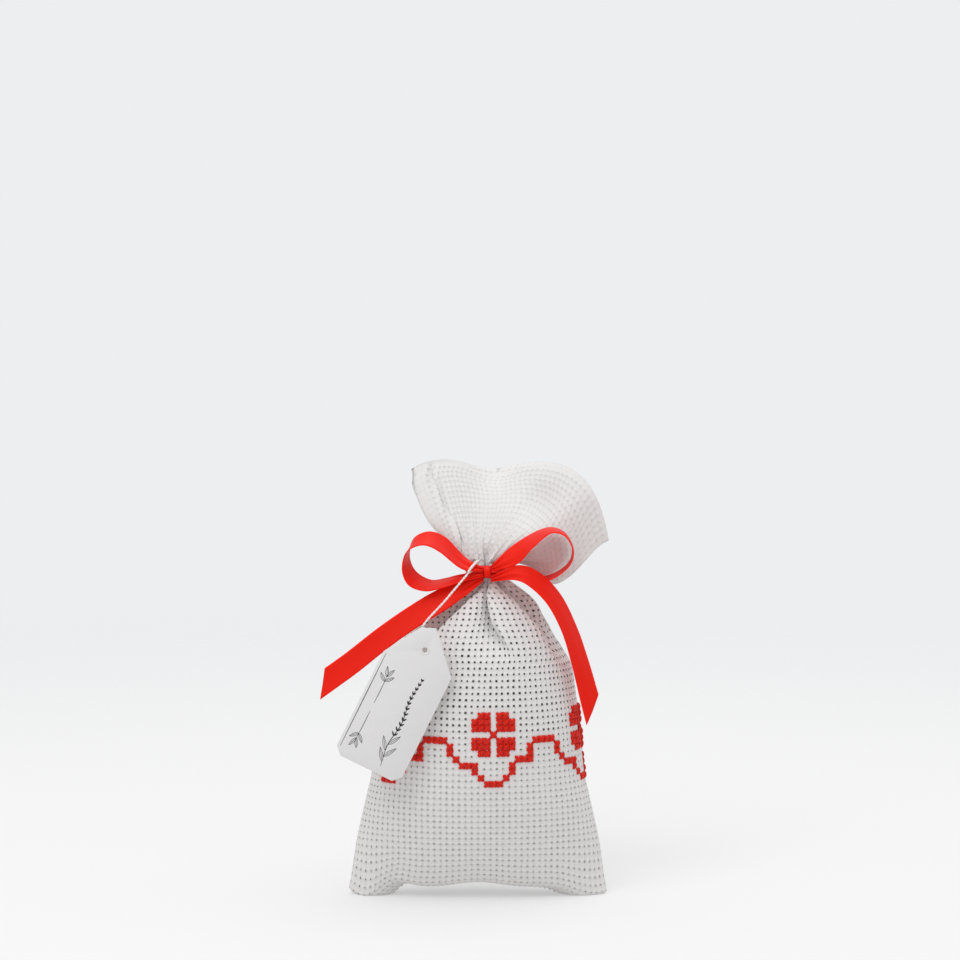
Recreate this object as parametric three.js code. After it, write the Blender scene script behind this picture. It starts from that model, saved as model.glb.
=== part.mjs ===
// Lavender sachet: a cross-stitched cloth pouch tied at the neck with a ribbon bow. Inside is an
// inner bag of dried lavender, and a paper tag hangs from the bow on a string.
// Millimetres, +Z up, the front faces -Y, and the pouch stands on its two bottom corners.
import * as THREE from 'three'

// Cloth: an even-weave fabric, counted in cells of one cross-stitch each.
const cell = 1.8143
const cellsAround = 90
const cellsToNeck = 58
const cellsAboveNeck = 21
const clothThick = 0.8
// Pouch, as filled and standing.
const footHalfWidth = 38.3
const frontDepth = 21
const backDepth = 20
const neckHeight = 95.5
const neckRadius = 5.5
const neckBore = 2.2
const neckShift = 2.7
const earDipLeft = 6.2
const earDipRight = 5.4
const seamHalfDepth = 0.6
// Ruffle above the neck: a flattened flare, like a fan.
const fanLeft = 34
const fanRight = 75
const droopLeft = 20
const droopRight = 25
const ruffleEdgeRadius = 1.4
const mouthGap = 16
const leanAtNeck = 28
const leanAtRim = 55
const fanMiddle = 7
const leanSpreadLeft = 65
const leanSpreadRight = 38
const dimpleAngle = 38
const dimpleSpread = 11
const rollStart = 42
const rollEnd = 72
const dimpleDepth = 2.6
const rollForward = 1.5
// Ribbon and bow.
const ribbonWidth = 7
const ribbonThick = 0.4
const bandHeight = 4
const bandThick = 0.8
const knotWidth = 2.8
const knotHeight = 4
const knotDepth = 3
const loopReach = 24.5
const rightLoopReach = 26.5
const leftTailReach = 49
const rightTailReach = 40
const leftTailCut = 6
const rightTailCut = 7.6
const longEdgeShare = 0.75
// Embroidery.
const stitchThick = 0.45
const stitchDome = 0.2
const stitchBridgeShare = 0.16
const cloverColumn = 44
const motifRow = 22
const motifPeriod = 18
// Inner bag and filling.
const bagFill = 58
const bagThick = 0.45
const bagSlack = 0.5
const bagMouthRadius = 3
const bagMouthHeight = 5
const seamThread = 0.5
// Tag and its string.
const tagWidth = 20.8
const tagLength = 44.8
const tagThick = 0.5
const tagShoulder = 10.8
const tagTopWidth = 4
const tagCorner = 2.2
const tagHole = 2.4
const tagHoleInset = 7
const tagTilt = 26.4
const tagFront = 22.8
const tagAside = 17.8
const tagBelow = 20.8
const stringThick = 0.75
const stringKnotShare = 1.8
const stringSlack = 0.75
const stringBendAside = 18.7
const stringBendBelow = 14.8
const stringBendFront = 21
// Pieces that touch keep this gap.
const gap = 0.3

const deg = Math.PI / 180
const clamp = (v, lo, hi) => Math.min(Math.max(v, lo), hi)
const smooth = (lo, hi, v) => {
  const k = clamp((v - lo) / (hi - lo), 0, 1)
  return k * k * (3 - 2 * k)
}
const bell = (v, centre, width) => Math.exp(-(((v - centre) / width) ** 2))
const mix = (a, b, k) => a + (b - a) * k

// The pouch's outline as four lines from the bottom seam to the neck: front, back and both sides.
// Each point has its distance from the middle, as a share of that line's widest, and its height
// as a share of the way up to the neck ribbon.
const frontShares = [
  [0.2, 0.046], [0.4, 0.058], [0.53, 0.1], [0.7, 0.18], [0.87, 0.3],
  [0.96, 0.4], [1, 0.53], [0.975, 0.66], [0.87, 0.79], [0.64, 0.9], [0.4, 0.965]
]
const sideShares = [
  [0.99, 0.026], [1, 0.053], [0.977, 0.084], [0.93, 0.178], [0.859, 0.303], [0.81, 0.396],
  [0.783, 0.521], [0.747, 0.646], [0.688, 0.74], [0.542, 0.849], [0.345, 0.927], [0.2, 0.975]
]
const seamHeightShare = 0.044
const neckLow = neckHeight - bandHeight / 2

const meridian = (reach, shares, first) => {
  const points = shares.map(([out, up]) => new THREE.Vector3(out * reach, 0, up * neckLow))
  if (first) points.unshift(first)
  points.push(new THREE.Vector3(neckRadius, 0, neckLow))
  const curve = new THREE.CatmullRomCurve3(points, false, 'catmullrom', 0.5)
  curve.arcLengthDivisions = 400
  return curve
}
const seamStart = new THREE.Vector3(seamHalfDepth, 0, seamHeightShare * neckLow)
const frontLine = meridian(frontDepth, frontShares, seamStart)
const backLine = meridian(backDepth, frontShares, seamStart)
const sideLine = meridian(footHalfWidth, sideShares)

// Pleats that run from the neck down into the shoulders: angle round the pouch at the neck and
// further down, how deep they draw in, as a share of the radius, how wide they are towards rising
// and falling angles, and how far down they reach.
const pleats = [
  { atNeck: 262, below: 214, depthShare: 0.34, rising: 6, falling: 16, reachShare: 0.27 },
  { atNeck: 271, below: 290, depthShare: 0.26, rising: 6, falling: 11, reachShare: 0.26 },
  { atNeck: 291, below: 340, depthShare: 0.34, rising: 16, falling: 6, reachShare: 0.25 },
  { atNeck: 30, below: 12, depthShare: 0.24, rising: 8, falling: 13, reachShare: 0.24 },
  { atNeck: 74, below: 66, depthShare: 0.28, rising: 8, falling: 14, reachShare: 0.28 },
  { atNeck: 112, below: 124, depthShare: 0.24, rising: 13, falling: 8, reachShare: 0.24 },
  { atNeck: 160, below: 164, depthShare: 0.3, rising: 14, falling: 8, reachShare: 0.28 }
]
const neckFlutes = 12
const fluteShare = 0.07

const pleatFactor = (phi, up, above) => {
  const round = ((phi / deg) % 360 + 360) % 360
  let drawn = 0
  for (const p of pleats) {
    const down = clamp((1 - up) / p.reachShare, 0, 1)
    const away = (round - mix(p.atNeck, p.below, down) + 540) % 360 - 180
    drawn += p.depthShare * (1 - smooth(0.35, 1, down)) * bell(away, 0, away > 0 ? p.rising : p.falling)
  }
  const fluted = fluteShare * smooth(0.9, 1, up) * (0.5 + 0.5 * Math.cos(neckFlutes * phi))
  return 1 - (drawn + fluted) * (1 - above)
}

// Lengths along the cloth, measured up from the bottom seam.
const neckLength = cellsToNeck * cell
const mouthLength = (cellsToNeck + cellsAboveNeck) * cell
const bellyLength = neckLength - bandHeight / 2
const ruffleStart = neckLength + bandHeight / 2
const ruffleLength = mouthLength - ruffleStart

// A layer lies inset from the outside of the cloth. Its sag is how far it follows the cloth down
// into the two bottom corners: 1 all the way, 0 not at all.
const outside = { inset: 0, sag: 1 }
const inside = { inset: clothThick, sag: 1 }

// A point of the pouch below the neck.
const bellyPoint = (along, phi, { inset, sag }) => {
  const t = clamp(along / bellyLength, 0, 1)
  const low = 1 - smooth(0, 0.2, t)
  const f = frontLine.getPointAt(t)
  const b = backLine.getPointAt(t)
  const s = sideLine.getPointAt(t)
  const gathered = mix(inset, inset + neckRadius - neckBore - clothThick, inset > 0 ? smooth(0.86, 1, t) : 0)
  const turn = Math.cos(phi)
  const out = Math.sin(phi)
  const pointed = mix(1.4, 1, smooth(0, 0.35, t))
  const side = Math.abs(turn) ** 6
  const depth = (out < 0 ? f.x : b.x) - gathered
  const draw = pleatFactor(phi, t, 0)
  const shift = neckShift * smooth(0.6, 1, t)
  const x = shift + (s.x - gathered) * turn * draw
  const y = Math.sign(out) * Math.max(depth, 0) * Math.abs(out) ** pointed * draw
  const ear = turn < 0 ? earDipLeft * bell(-turn, 0.82, 0.14) : earDipRight * bell(turn, 0.78, 0.18)
  const dip = sag * ear * (1 - smooth(0.05, 0.22, t))
  const z = mix(f.z, s.z, side) - dip
  return new THREE.Vector3(x, y, Math.max(z, 0) + inset * low)
}

// A point of the ruffle above the neck ribbon, drawn in by the gathered cloth at the neck. It
// opens from the round neck into a flat fan that leans back in the middle, with a dimple and a
// rolled lower edge on the right.
const flare = (along, phi, drawnIn) => {
  const up = Math.max(along - ruffleStart, 0)
  const share = up / ruffleLength
  const turn = Math.cos(phi)
  const out = Math.sin(phi)
  const open = smooth(0, 0.85, share)
  const droop = Math.sin(Math.PI * clamp(share, 0, 1)) ** 2
  const left = -fanLeft - droopLeft * droop
  const right = fanRight + droopRight * droop
  const fan = mix((left + right) / 2, turn > 0 ? right : left, Math.abs(turn)) * deg
  const middle = fanMiddle * deg
  const spread = (fan < middle ? leanSpreadLeft : leanSpreadRight) * deg
  const lean = Math.cos(clamp((fan - middle) / spread, -1, 1) * Math.PI / 2) ** 1.4
  const from = leanAtNeck * lean * deg
  const to = from + Math.max((leanAtRim - leanAtNeck) * lean * deg, 0.001)
  const at = mix(from, to, share)
  const bend = ruffleLength / (to - from)
  const reach = bend * (Math.sin(at) - Math.sin(from))
  let back = bend * (Math.cos(from) - Math.cos(at))
  back += dimpleDepth * bell(fan / deg, dimpleAngle, dimpleSpread) * bell(share, 0.62, 0.22)
  back -= rollForward * smooth(rollStart, rollEnd, fan / deg) * Math.sin(Math.PI * clamp(share, 0, 1))
  const narrowed = neckRadius - drawnIn * (1 - smooth(0, 0.4, share))
  const radius = mix(narrowed * pleatFactor(phi, 1, smooth(0, 0.5, share)), ruffleEdgeRadius, open)
  const tangent = fan * open
  const parted = mouthGap / 2 * out * out * (1 + out) * share ** 1.5
  return new THREE.Vector3(
    neckShift + reach * Math.sin(fan) + radius * turn * Math.cos(tangent),
    back + parted + radius * out,
    neckHeight + bandHeight / 2 + reach * Math.cos(fan) - radius * turn * Math.sin(tangent))
}

const rufflePoint = (along, phi, { inset }) => {
  if (inset === 0) return flare(along, phi, 0)
  const drawnIn = neckRadius - neckBore - inset
  const turnStep = 0.02
  const upStep = cell / 8
  const across = flare(along, phi + turnStep, drawnIn).sub(flare(along, phi - turnStep, drawnIn))
  const upward = flare(along + upStep, phi, drawnIn).sub(flare(along, phi, drawnIn))
  return flare(along, phi, drawnIn).addScaledVector(across.cross(upward).normalize(), -inset)
}

const clothPoint = (along, phi, layer) => {
  if (along <= bellyLength) return bellyPoint(along, phi, layer)
  if (along >= ruffleStart) return rufflePoint(along, phi, layer)
  const p = bellyPoint(bellyLength, phi, layer)
  p.z += along - bellyLength
  return p
}

// One ring of the cloth as evenly spaced points, counted from the middle of the back round the
// left side and the front, with the middles and both sides at its quarters.
const ringCache = new Map()
const ringSteps = 48
const ringTable = (along, layer) => {
  const key = `${along.toFixed(4)} ${layer.inset} ${layer.sag}`
  if (!ringCache.has(key)) {
    ringCache.set(key, [1, 2, 3, 4].map(quarter => {
      const points = []
      for (let i = 0; i <= ringSteps; i++) {
        points.push(clothPoint(along, (quarter + i / ringSteps) * Math.PI / 2, layer))
      }
      const lengths = [0]
      for (let i = 1; i <= ringSteps; i++) lengths.push(lengths[i - 1] + points[i].distanceTo(points[i - 1]))
      return { points, lengths }
    }))
  }
  return ringCache.get(key)
}
const onRing = (turnShare, along, layer = outside) => {
  const round = ((turnShare % 1) + 1) % 1 * 4
  const quarter = Math.min(Math.floor(round), 3)
  const { points, lengths } = ringTable(along, layer)[quarter]
  const want = (round - quarter) * lengths[ringSteps]
  let i = 1
  while (i < ringSteps && lengths[i] < want) i++
  const span = lengths[i] - lengths[i - 1]
  return points[i - 1].clone().lerp(points[i], span > 0 ? clamp((want - lengths[i - 1]) / span, 0, 1) : 0)
}
// The place of a weave column and row, lifted off the cloth along its outward direction.
const onCloth = (column, row, lift = 0) => {
  const step = 0.25
  const here = onRing(column / cellsAround, row * cell)
  const across = onRing((column + step) / cellsAround, row * cell)
    .sub(onRing((column - step) / cellsAround, row * cell))
  const upward = onRing(column / cellsAround, (row + step) * cell)
    .sub(onRing(column / cellsAround, Math.max(row - step, 0) * cell))
  return here.addScaledVector(across.cross(upward).normalize(), lift)
}

const sachet = new THREE.Group()
const add = (name, geometry, color, roughness) => {
  const mesh = new THREE.Mesh(geometry, new THREE.MeshStandardMaterial({ color, roughness, metalness: 0 }))
  mesh.name = name
  sachet.add(mesh)
  return mesh
}
const clothColor = 0xe0dcda
const ribbonColor = 0xe21c12
const stitchColor = 0xbe1c16
const paperColor = 0xe0dedd
const threadColor = 0xf0eeea
const bagColor = 0xf2f0ec
const lavenderColor = 0x7d6f8c

// A closed mesh from points and triangles, each triangle seen counter-clockwise from outside.
const solid = (points, triangles) => {
  const geometry = new THREE.BufferGeometry()
  geometry.setAttribute('position', new THREE.Float32BufferAttribute(points.flatMap(p => [p.x, p.y, p.z]), 3))
  geometry.setIndex(triangles.flat())
  geometry.computeVertexNormals()
  return geometry
}
const quad = (a, b, c, d) => [[a, b, c], [a, c, d]]

// The wall between stacked rings of the same count, split along the rising diagonal on both
// faces of a cloth, and the flat seam that closes one ring.
const ringWall = (first, second, count, downward = false) => {
  const faces = []
  for (let k = 0; k < count; k++) {
    const n = (k + 1) % count
    const corners = [first + k, first + n, second + n, second + k]
    if (downward) corners.push(corners.shift())
    faces.push(...quad(...corners))
  }
  return faces
}
const stack = (rings, upward) => {
  const count = rings[0].length
  const faces = []
  for (let j = 0; j < rings.length - 1; j++) {
    faces.push(...ringWall(j * count, (j + 1) * count, count, j >= upward))
  }
  return faces
}
const seamFaces = (start, count, up) => {
  const faces = []
  const across = k => start + (count / 2 - k + count) % count
  for (let k = count / 4; k < 3 * count / 4; k++) {
    const a = start + k
    const b = start + k + 1
    const c = across(k + 1)
    const d = across(k)
    if (a !== d) faces.push(up ? [a, b, d] : [a, d, b])
    if (b !== c) faces.push(up ? [b, c, d] : [b, d, c])
  }
  return faces
}

// Columns crowd towards both sides, where the cloth turns most.
const crowding = 0.4
const closerAtSides = share => share + crowding * Math.sin(4 * Math.PI * share) / (4 * Math.PI)

// The pouch cloth: an open shell, outside rings up to the mouth and inside rings back down.
// Its rows are given in cells: close together over the curve at the bottom, then evenly spaced.
const ringCount = 52
const lowRowShares = [0, 0.5, 1.1, 1.9, 3, 4.6]
const bellyRows = 14
const ruffleRows = 8
const clothRows = from => {
  const rows = lowRowShares.filter(row => row >= from)
  const lastLow = lowRowShares.at(-1)
  for (let i = 1; i <= bellyRows; i++) rows.push(mix(lastLow, bellyLength / cell, i / bellyRows))
  for (let i = 0; i <= ruffleRows; i++) rows.push(mix(ruffleStart, mouthLength, i / ruffleRows) / cell)
  return rows
}
const pouchCloth = () => {
  const outer = clothRows(0)
  const inner = clothRows(lowRowShares[2])
  const ring = (row, layer) => {
    const points = []
    for (let k = 0; k < ringCount; k++) points.push(onRing(closerAtSides(k / ringCount), row * cell, layer))
    return points
  }
  const rings = [...outer.map(row => ring(row, outside)), ...inner.reverse().map(row => ring(row, inside))]
  const triangles = [
    ...stack(rings, outer.length), ...seamFaces(0, ringCount, false),
    ...seamFaces((rings.length - 1) * ringCount, ringCount, true)
  ]
  return solid(rings.flat(), triangles)
}
add('pouch_cloth', pouchCloth(), clothColor, 0.92)

// The inner bag follows the pouch up to its fill line and closes over it to a small gathered
// mouth. The filling is the same shape, one wall further in.
const bagCount = 24
const bagRowShares = [0.035, 0.07, 0.13, 0.25, 0.45, 0.65, 0.85, 1]
const domeSteps = 4
const bagRing = (share, inset) => {
  const points = []
  for (let k = 0; k < bagCount; k++) points.push(onRing(k / bagCount, share * bagFill, { inset, sag: 0 }))
  return points
}
const bagCentre = onRing(0, bagFill).add(onRing(0.5, bagFill)).divideScalar(2)
const bagShape = (inset, topRadius) => {
  const rings = bagRowShares.map(share => bagRing(share, inset))
  const last = rings.at(-1)
  const rise = frontDepth / 2
  for (let i = 1; i <= domeSteps; i++) {
    const angle = i / domeSteps * Math.PI / 2
    rings.push(last.map(p => {
      const out = p.clone().sub(bagCentre)
      const radius = Math.hypot(out.x, out.y)
      const shrunk = mix(topRadius / radius, 1, Math.cos(angle))
      const height = mix(bagCentre.z, p.z, Math.cos(angle)) + (rise - inset) * Math.sin(angle)
      return new THREE.Vector3(bagCentre.x + out.x * shrunk, bagCentre.y + out.y * shrunk, height)
    }))
  }
  return rings
}
const bagInset = clothThick + bagSlack
const innerBag = () => {
  const outer = bagShape(bagInset, bagMouthRadius)
  const inner = bagShape(bagInset + bagThick, bagMouthRadius - bagThick)
  const raise = (rings, lift) => rings.push(rings.at(-1).map(p => new THREE.Vector3(p.x, p.y, p.z + lift)))
  raise(outer, bagMouthHeight)
  raise(inner, bagMouthHeight + bagThick)
  const rings = [...outer, ...inner.reverse()]
  const triangles = [
    ...stack(rings, outer.length), ...seamFaces(0, bagCount, false),
    ...seamFaces((rings.length - 1) * bagCount, bagCount, true)
  ]
  return solid(rings.flat(), triangles)
}
add('inner_bag', innerBag(), bagColor, 0.9)

const fillingInset = bagInset + bagThick + gap
const filling = () => {
  const rings = bagShape(fillingInset, bagMouthRadius)
  const triangles = [...stack(rings, rings.length), ...seamFaces(0, bagCount, false)]
  const points = rings.flat()
  const middle = points.length
  points.push(new THREE.Vector3(bagCentre.x, bagCentre.y, rings.at(-1)[0].z))
  const start = (rings.length - 1) * bagCount
  for (let k = 0; k < bagCount; k++) triangles.push([start + k, start + (k + 1) % bagCount, middle])
  return solid(points, triangles)
}
add('lavender_filling', filling(), lavenderColor, 0.95)

// A round cord through given points, with flat ends.
const cord = (points, thick, steps, sides) => {
  const path = new THREE.CatmullRomCurve3(points, false, 'centripetal')
  const section = new THREE.Shape()
  for (let i = 0; i < sides; i++) {
    const angle = i / sides * 2 * Math.PI
    const method = i === 0 ? 'moveTo' : 'lineTo'
    section[method](Math.cos(angle) * thick / 2, Math.sin(angle) * thick / 2)
  }
  section.closePath()
  return new THREE.ExtrudeGeometry(section, { steps, bevelEnabled: false, extrudePath: path, curveSegments: 1 })
}
const bagTieHeight = bagShape(bagInset, bagMouthRadius).at(-1)[0].z + bagMouthHeight / 2
const bagTieRadius = bagMouthRadius + gap + seamThread / 2
const bagTie = new THREE.TorusGeometry(bagTieRadius, seamThread / 2, 6, bagCount)
add('inner_bag_tie', bagTie, threadColor, 0.8).position.set(bagCentre.x, bagCentre.y, bagTieHeight)

// Hand-sewn seams: a thread zigzags up the middle of the back, below the embroidered border and
// again above it, and one along the bottom between the two corners that the pouch stands on.
const seamLift = gap + seamThread / 2
const seamStitchShare = 0.35
const seamPitchShare = 1.3
const backSeam = (firstRow, lastRow) => {
  const stitches = Math.round((lastRow - firstRow) / seamPitchShare)
  const points = []
  for (let i = 0; i <= stitches; i++) {
    const side = i % 2 === 0 ? seamStitchShare : -seamStitchShare
    points.push(onCloth(side, mix(firstRow, lastRow, i / stitches), seamLift))
  }
  return cord(points, seamThread, stitches * 2, 5)
}
const seamFirstRow = 7
const seamRowsBelowNeck = 8
const borderLow = motifRow + 4
const borderHigh = motifRow + 8
const seamClearRows = 1
add('back_seam_thread_lower', backSeam(seamFirstRow, borderLow - seamClearRows), threadColor, 0.8)
const seamLastRow = cellsToNeck - seamRowsBelowNeck
add('back_seam_thread_upper', backSeam(borderHigh + seamClearRows, seamLastRow), threadColor, 0.8)
const bottomStitches = 18
const bottomSpanShare = 0.56
const bottomSeam = () => {
  const points = []
  for (let i = 0; i <= bottomStitches; i++) {
    const column = cellsAround / 2 + mix(-1, 1, i / bottomStitches) * bottomSpanShare * cellsAround / 4
    const p = onRing(column / cellsAround, 0)
    const side = i % 2 === 0 ? seamHalfDepth : -seamHalfDepth
    points.push(new THREE.Vector3(p.x, side, p.z - seamLift))
  }
  return cord(points, seamThread, bottomStitches * 2, 5)
}
add('bottom_seam_thread', bottomSeam(), threadColor, 0.8)

// Cross-stitch. Each motif is one layer of raised squares on the cloth. Squares that meet only
// at a corner are tied there by a short bridge, as the thread ties them at their shared hole.
const cloverChart = ['.XX.XX.', 'XXX.XXX', 'XXX.XXX', '...X...', 'XXX.XXX', 'XXX.XXX', '.XX.XX.']
const cloverTop = 11
const waveChart = [
  [4, [10, 11, 12, 13]], [5, [-4, 9]], [6, [-4, 9]], [7, [-3, 7, 8, 9]],
  [8, [-2, -1, 0, 6]], [9, [0, 6]], [10, [1, 5]], [11, [2, 3, 4]]
]
const stitchLayer = cells => {
  const name = (c, r) => `${((c % cellsAround) + cellsAround) % cellsAround},${r}`
  const filled = new Set(cells.map(([c, r]) => name(c, r)))
  const has = (c, r) => filled.has(name(c, r))
  const points = []
  const places = new Map()
  const spot = (c, r) => {
    const round = ((c % cellsAround) + cellsAround) % cellsAround
    const key = `${round.toFixed(3)} ${r.toFixed(3)}`
    if (!places.has(key)) {
      places.set(key, points.length)
      points.push(onCloth(c, r, gap), onCloth(c, r, gap + stitchThick))
    }
    return places.get(key)
  }
  // The corner between four squares, as one or two spots in counter-clockwise order.
  const half = stitchBridgeShare / 2
  const corner = (c, r, fromLeft, fromBelow) => {
    const here = has(c - (fromLeft ? 1 : 0), r - (fromBelow ? 1 : 0))
    const opposite = has(c - (fromLeft ? 0 : 1), r - (fromBelow ? 0 : 1))
    const besides = has(c - (fromLeft ? 0 : 1), r - (fromBelow ? 1 : 0)) ||
      has(c - (fromLeft ? 1 : 0), r - (fromBelow ? 0 : 1))
    if (!here || !opposite || besides) return [spot(c, r)]
    const rising = fromLeft === fromBelow
    const first = rising ? [half, -half] : [-half, -half]
    const second = rising ? [-half, half] : [half, half]
    const ends = [spot(c + first[0], r + first[1]), spot(c + second[0], r + second[1])]
    return fromBelow ? (rising ? ends : ends.reverse()) : (rising ? ends.reverse() : ends)
  }
  const triangles = []
  const edges = new Map()
  for (const [c, r] of cells) {
    const outline = [
      ...corner(c, r, false, false), ...corner(c + 1, r, true, false),
      ...corner(c + 1, r + 1, true, true), ...corner(c, r + 1, false, true)
    ]
    const middle = points.length
    points.push(onCloth(c + 0.5, r + 0.5, gap), onCloth(c + 0.5, r + 0.5, gap + stitchThick + stitchDome))
    outline.forEach((a, i) => {
      const b = outline[(i + 1) % outline.length]
      triangles.push([a + 1, b + 1, middle + 1], [b, a, middle])
      edges.set(`${a} ${b}`, [a, b])
    })
  }
  for (const [a, b] of edges.values()) {
    if (!edges.has(`${b} ${a}`)) triangles.push(...quad(a, b, b + 1, a + 1))
  }
  return solid(points, triangles)
}
const chartRow = r => motifRow + cloverTop - r
const clover = shift => {
  const cells = []
  cloverChart.forEach((line, r) => {
    [...line].forEach((mark, c) => {
      if (mark === 'X') cells.push([cloverColumn + shift * motifPeriod + c, chartRow(r)])
    })
  })
  return stitchLayer(cells)
}
const cloverNames = ['clover_front', 'clover_front_right', 'clover_back_right', 'clover_back_left', 'clover_front_left']
cloverNames.forEach((name, shift) => add(name, clover(shift), stitchColor, 0.75))
const waveBorder = () => {
  const cells = []
  for (let period = 0; period < cellsAround / motifPeriod; period++) {
    for (const [r, columns] of waveChart) {
      for (const c of columns) cells.push([cloverColumn + period * motifPeriod + c, chartRow(r)])
    }
  }
  return stitchLayer(cells)
}
add('wave_border', waveBorder(), stitchColor, 0.75)

// A flat ribbon along a middle line, with the direction across it given at each point.
const ribbon = (middles, widths, steps, closed = false, thick = ribbonThick) => {
  const line = new THREE.CatmullRomCurve3(middles, closed, 'catmullrom', 0.5)
  const sides = new THREE.CatmullRomCurve3(widths, closed, 'catmullrom', 0.5)
  const points = []
  const triangles = []
  const rings = closed ? steps : steps + 1
  for (let i = 0; i < rings; i++) {
    const t = i / steps
    const across = sides.getPoint(t)
    const face = line.getTangent(t).cross(across).normalize().multiplyScalar(thick / 2)
    const half = across.clone().divideScalar(2)
    const at = line.getPoint(t)
    for (const [a, f] of [[-1, -1], [1, -1], [1, 1], [-1, 1]]) {
      points.push(at.clone().addScaledVector(half, a).addScaledVector(face, f))
    }
  }
  for (let i = 0; i < steps; i++) {
    const a = i * 4
    const b = ((i + 1) % rings) * 4
    for (let k = 0; k < 4; k++) {
      const n = (k + 1) % 4
      triangles.push(...quad(a + k, a + n, b + n, b + k))
    }
  }
  if (!closed) {
    const e = steps * 4
    triangles.push(...quad(3, 2, 1, 0), ...quad(e, e + 1, e + 2, e + 3))
  }
  return solid(points, triangles)
}

// The ribbon round the neck, and the knot in front of it.
const bandRadius = neckRadius + gap + bandThick / 2
const neckBand = () => {
  const middles = []
  const widths = []
  const count = 24
  for (let i = 0; i < count; i++) {
    const angle = i / count * 2 * Math.PI
    middles.push(new THREE.Vector3(neckShift + Math.cos(angle) * bandRadius, Math.sin(angle) * bandRadius, neckHeight))
    widths.push(new THREE.Vector3(0, 0, bandHeight - gap))
  }
  return ribbon(middles, widths, count, true, bandThick)
}
add('neck_ribbon', neckBand(), ribbonColor, 0.35)
const knotFront = -(bandRadius + bandThick / 2 + gap + knotDepth)
const knot = new THREE.Vector3(neckShift, knotFront + knotDepth / 2, neckHeight)
const knotBody = () => {
  const outline = [
    [0, -0.5], [0.34, -0.48], [0.46, -0.36], [0.5, -0.16], [0.42, 0], [0.5, 0.16], [0.46, 0.36], [0.34, 0.48], [0, 0.5]
  ]
  const profile = outline.map(([r, h]) => new THREE.Vector2(r * knotWidth, h * knotHeight))
  const geometry = new THREE.LatheGeometry(profile, 14)
  geometry.rotateX(Math.PI / 2)
  geometry.scale(1, knotDepth / knotWidth, 1)
  return geometry
}
add('ribbon_knot', knotBody(), ribbonColor, 0.35).position.copy(knot)

// Bow parts. Each row gives a place from the knot, in shares of the reach and, front to back, of
// the ribbon's width; then the direction across the ribbon, in shares of its width.
const bowPart = (rows, reach, steps) => {
  const middles = rows.map(([x, y, z]) => new THREE.Vector3(x * reach, y * ribbonWidth, z * reach).add(knot))
  const widths = rows.map(row => new THREE.Vector3(row[3], row[4], row[5]).multiplyScalar(ribbonWidth))
  return ribbon(middles, widths, steps)
}
const leftLoopShares = [
  [-0.075, -0.1, 0.045, 0, 0.03, 0.17], [-0.28, -0.14, 0.12, 0.12, 0.55, 0.45], [-0.52, -0.12, 0.33, 0.28, 0.78, 0.5],
  [-0.7, -0.1, 0.41, 0.28, 0.79, 0.5], [-0.86, -0.08, 0.37, 0.28, 0.79, 0.5], [-0.94, -0.06, 0.27, 0.28, 0.79, 0.5],
  [-0.96, -0.06, 0.09, 0.28, 0.79, 0.5], [-0.88, -0.08, -0.07, 0.28, 0.79, 0.5],
  [-0.7, -0.1, -0.16, 0.28, 0.79, 0.5], [-0.52, -0.12, -0.14, 0.24, 0.74, 0.48],
  [-0.34, -0.12, -0.09, 0.12, 0.45, 0.35], [-0.075, 0, -0.02, 0, 0.03, 0.17]
]
add('bow_loop_left', bowPart(leftLoopShares, loopReach, 33), ribbonColor, 0.35)
const rightLoopShares = [
  [0.07, -0.1, 0.045, 0, 0.03, 0.17], [0.28, -0.2, 0.17, -0.4, 0.25, 0.72], [0.45, -0.2, 0.31, -0.3, 0.7, 0.6],
  [0.6, -0.15, 0.43, -0.12, 0.9, 0.4], [0.72, -0.12, 0.48, 0, 0.98, 0.2], [0.85, -0.12, 0.43, 0, 0.99, 0.1],
  [0.94, -0.08, 0.27, 0, 0.99, 0.1], [0.92, 0, 0.12, 0, 0.99, 0.1], [0.8, 0.1, 0, 0, 0.98, 0.15],
  [0.62, 0.2, -0.07, 0, 0.9, 0.25], [0.38, 0.22, -0.05, 0, 0.45, 0.3], [0.07, 0.1, -0.01, 0, 0.03, 0.17]
]
add('bow_loop_right', bowPart(rightLoopShares, rightLoopReach, 33), ribbonColor, 0.35)

const leftTailShares = [
  [-0.036, 0.02, -0.04, 0.0, 0, 0.17], [-0.14, 0.12, -0.1, -0.3, 0.05, 0.72], [-0.28, -0.2, -0.185, -0.46, 0, 0.85],
  [-0.45, -0.34, -0.29, -0.53, -0.08, 0.83], [-0.62, -0.35, -0.405, -0.57, -0.05, 0.81],
  [-0.8, -0.3, -0.54, -0.58, 0, 0.81], [-0.95, -0.28, -0.64, -0.56, 0, 0.82]
]
const rightTailShares = [
  [0.045, -0.08, -0.045, 0.0, 0, 0.17], [0.22, -0.42, -0.02, 0.1, -0.14, 0.75], [0.36, -0.56, -0.07, 0.45, -0.16, 0.78],
  [0.5, -0.45, -0.21, 0.78, -0.2, 0.5], [0.6, -0.3, -0.42, 0.9, -0.15, 0.38],
  [0.69, -0.18, -0.66, 0.92, -0.15, 0.32], [0.78, -0.12, -0.95, 0.94, -0.1, 0.26]
]
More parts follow.
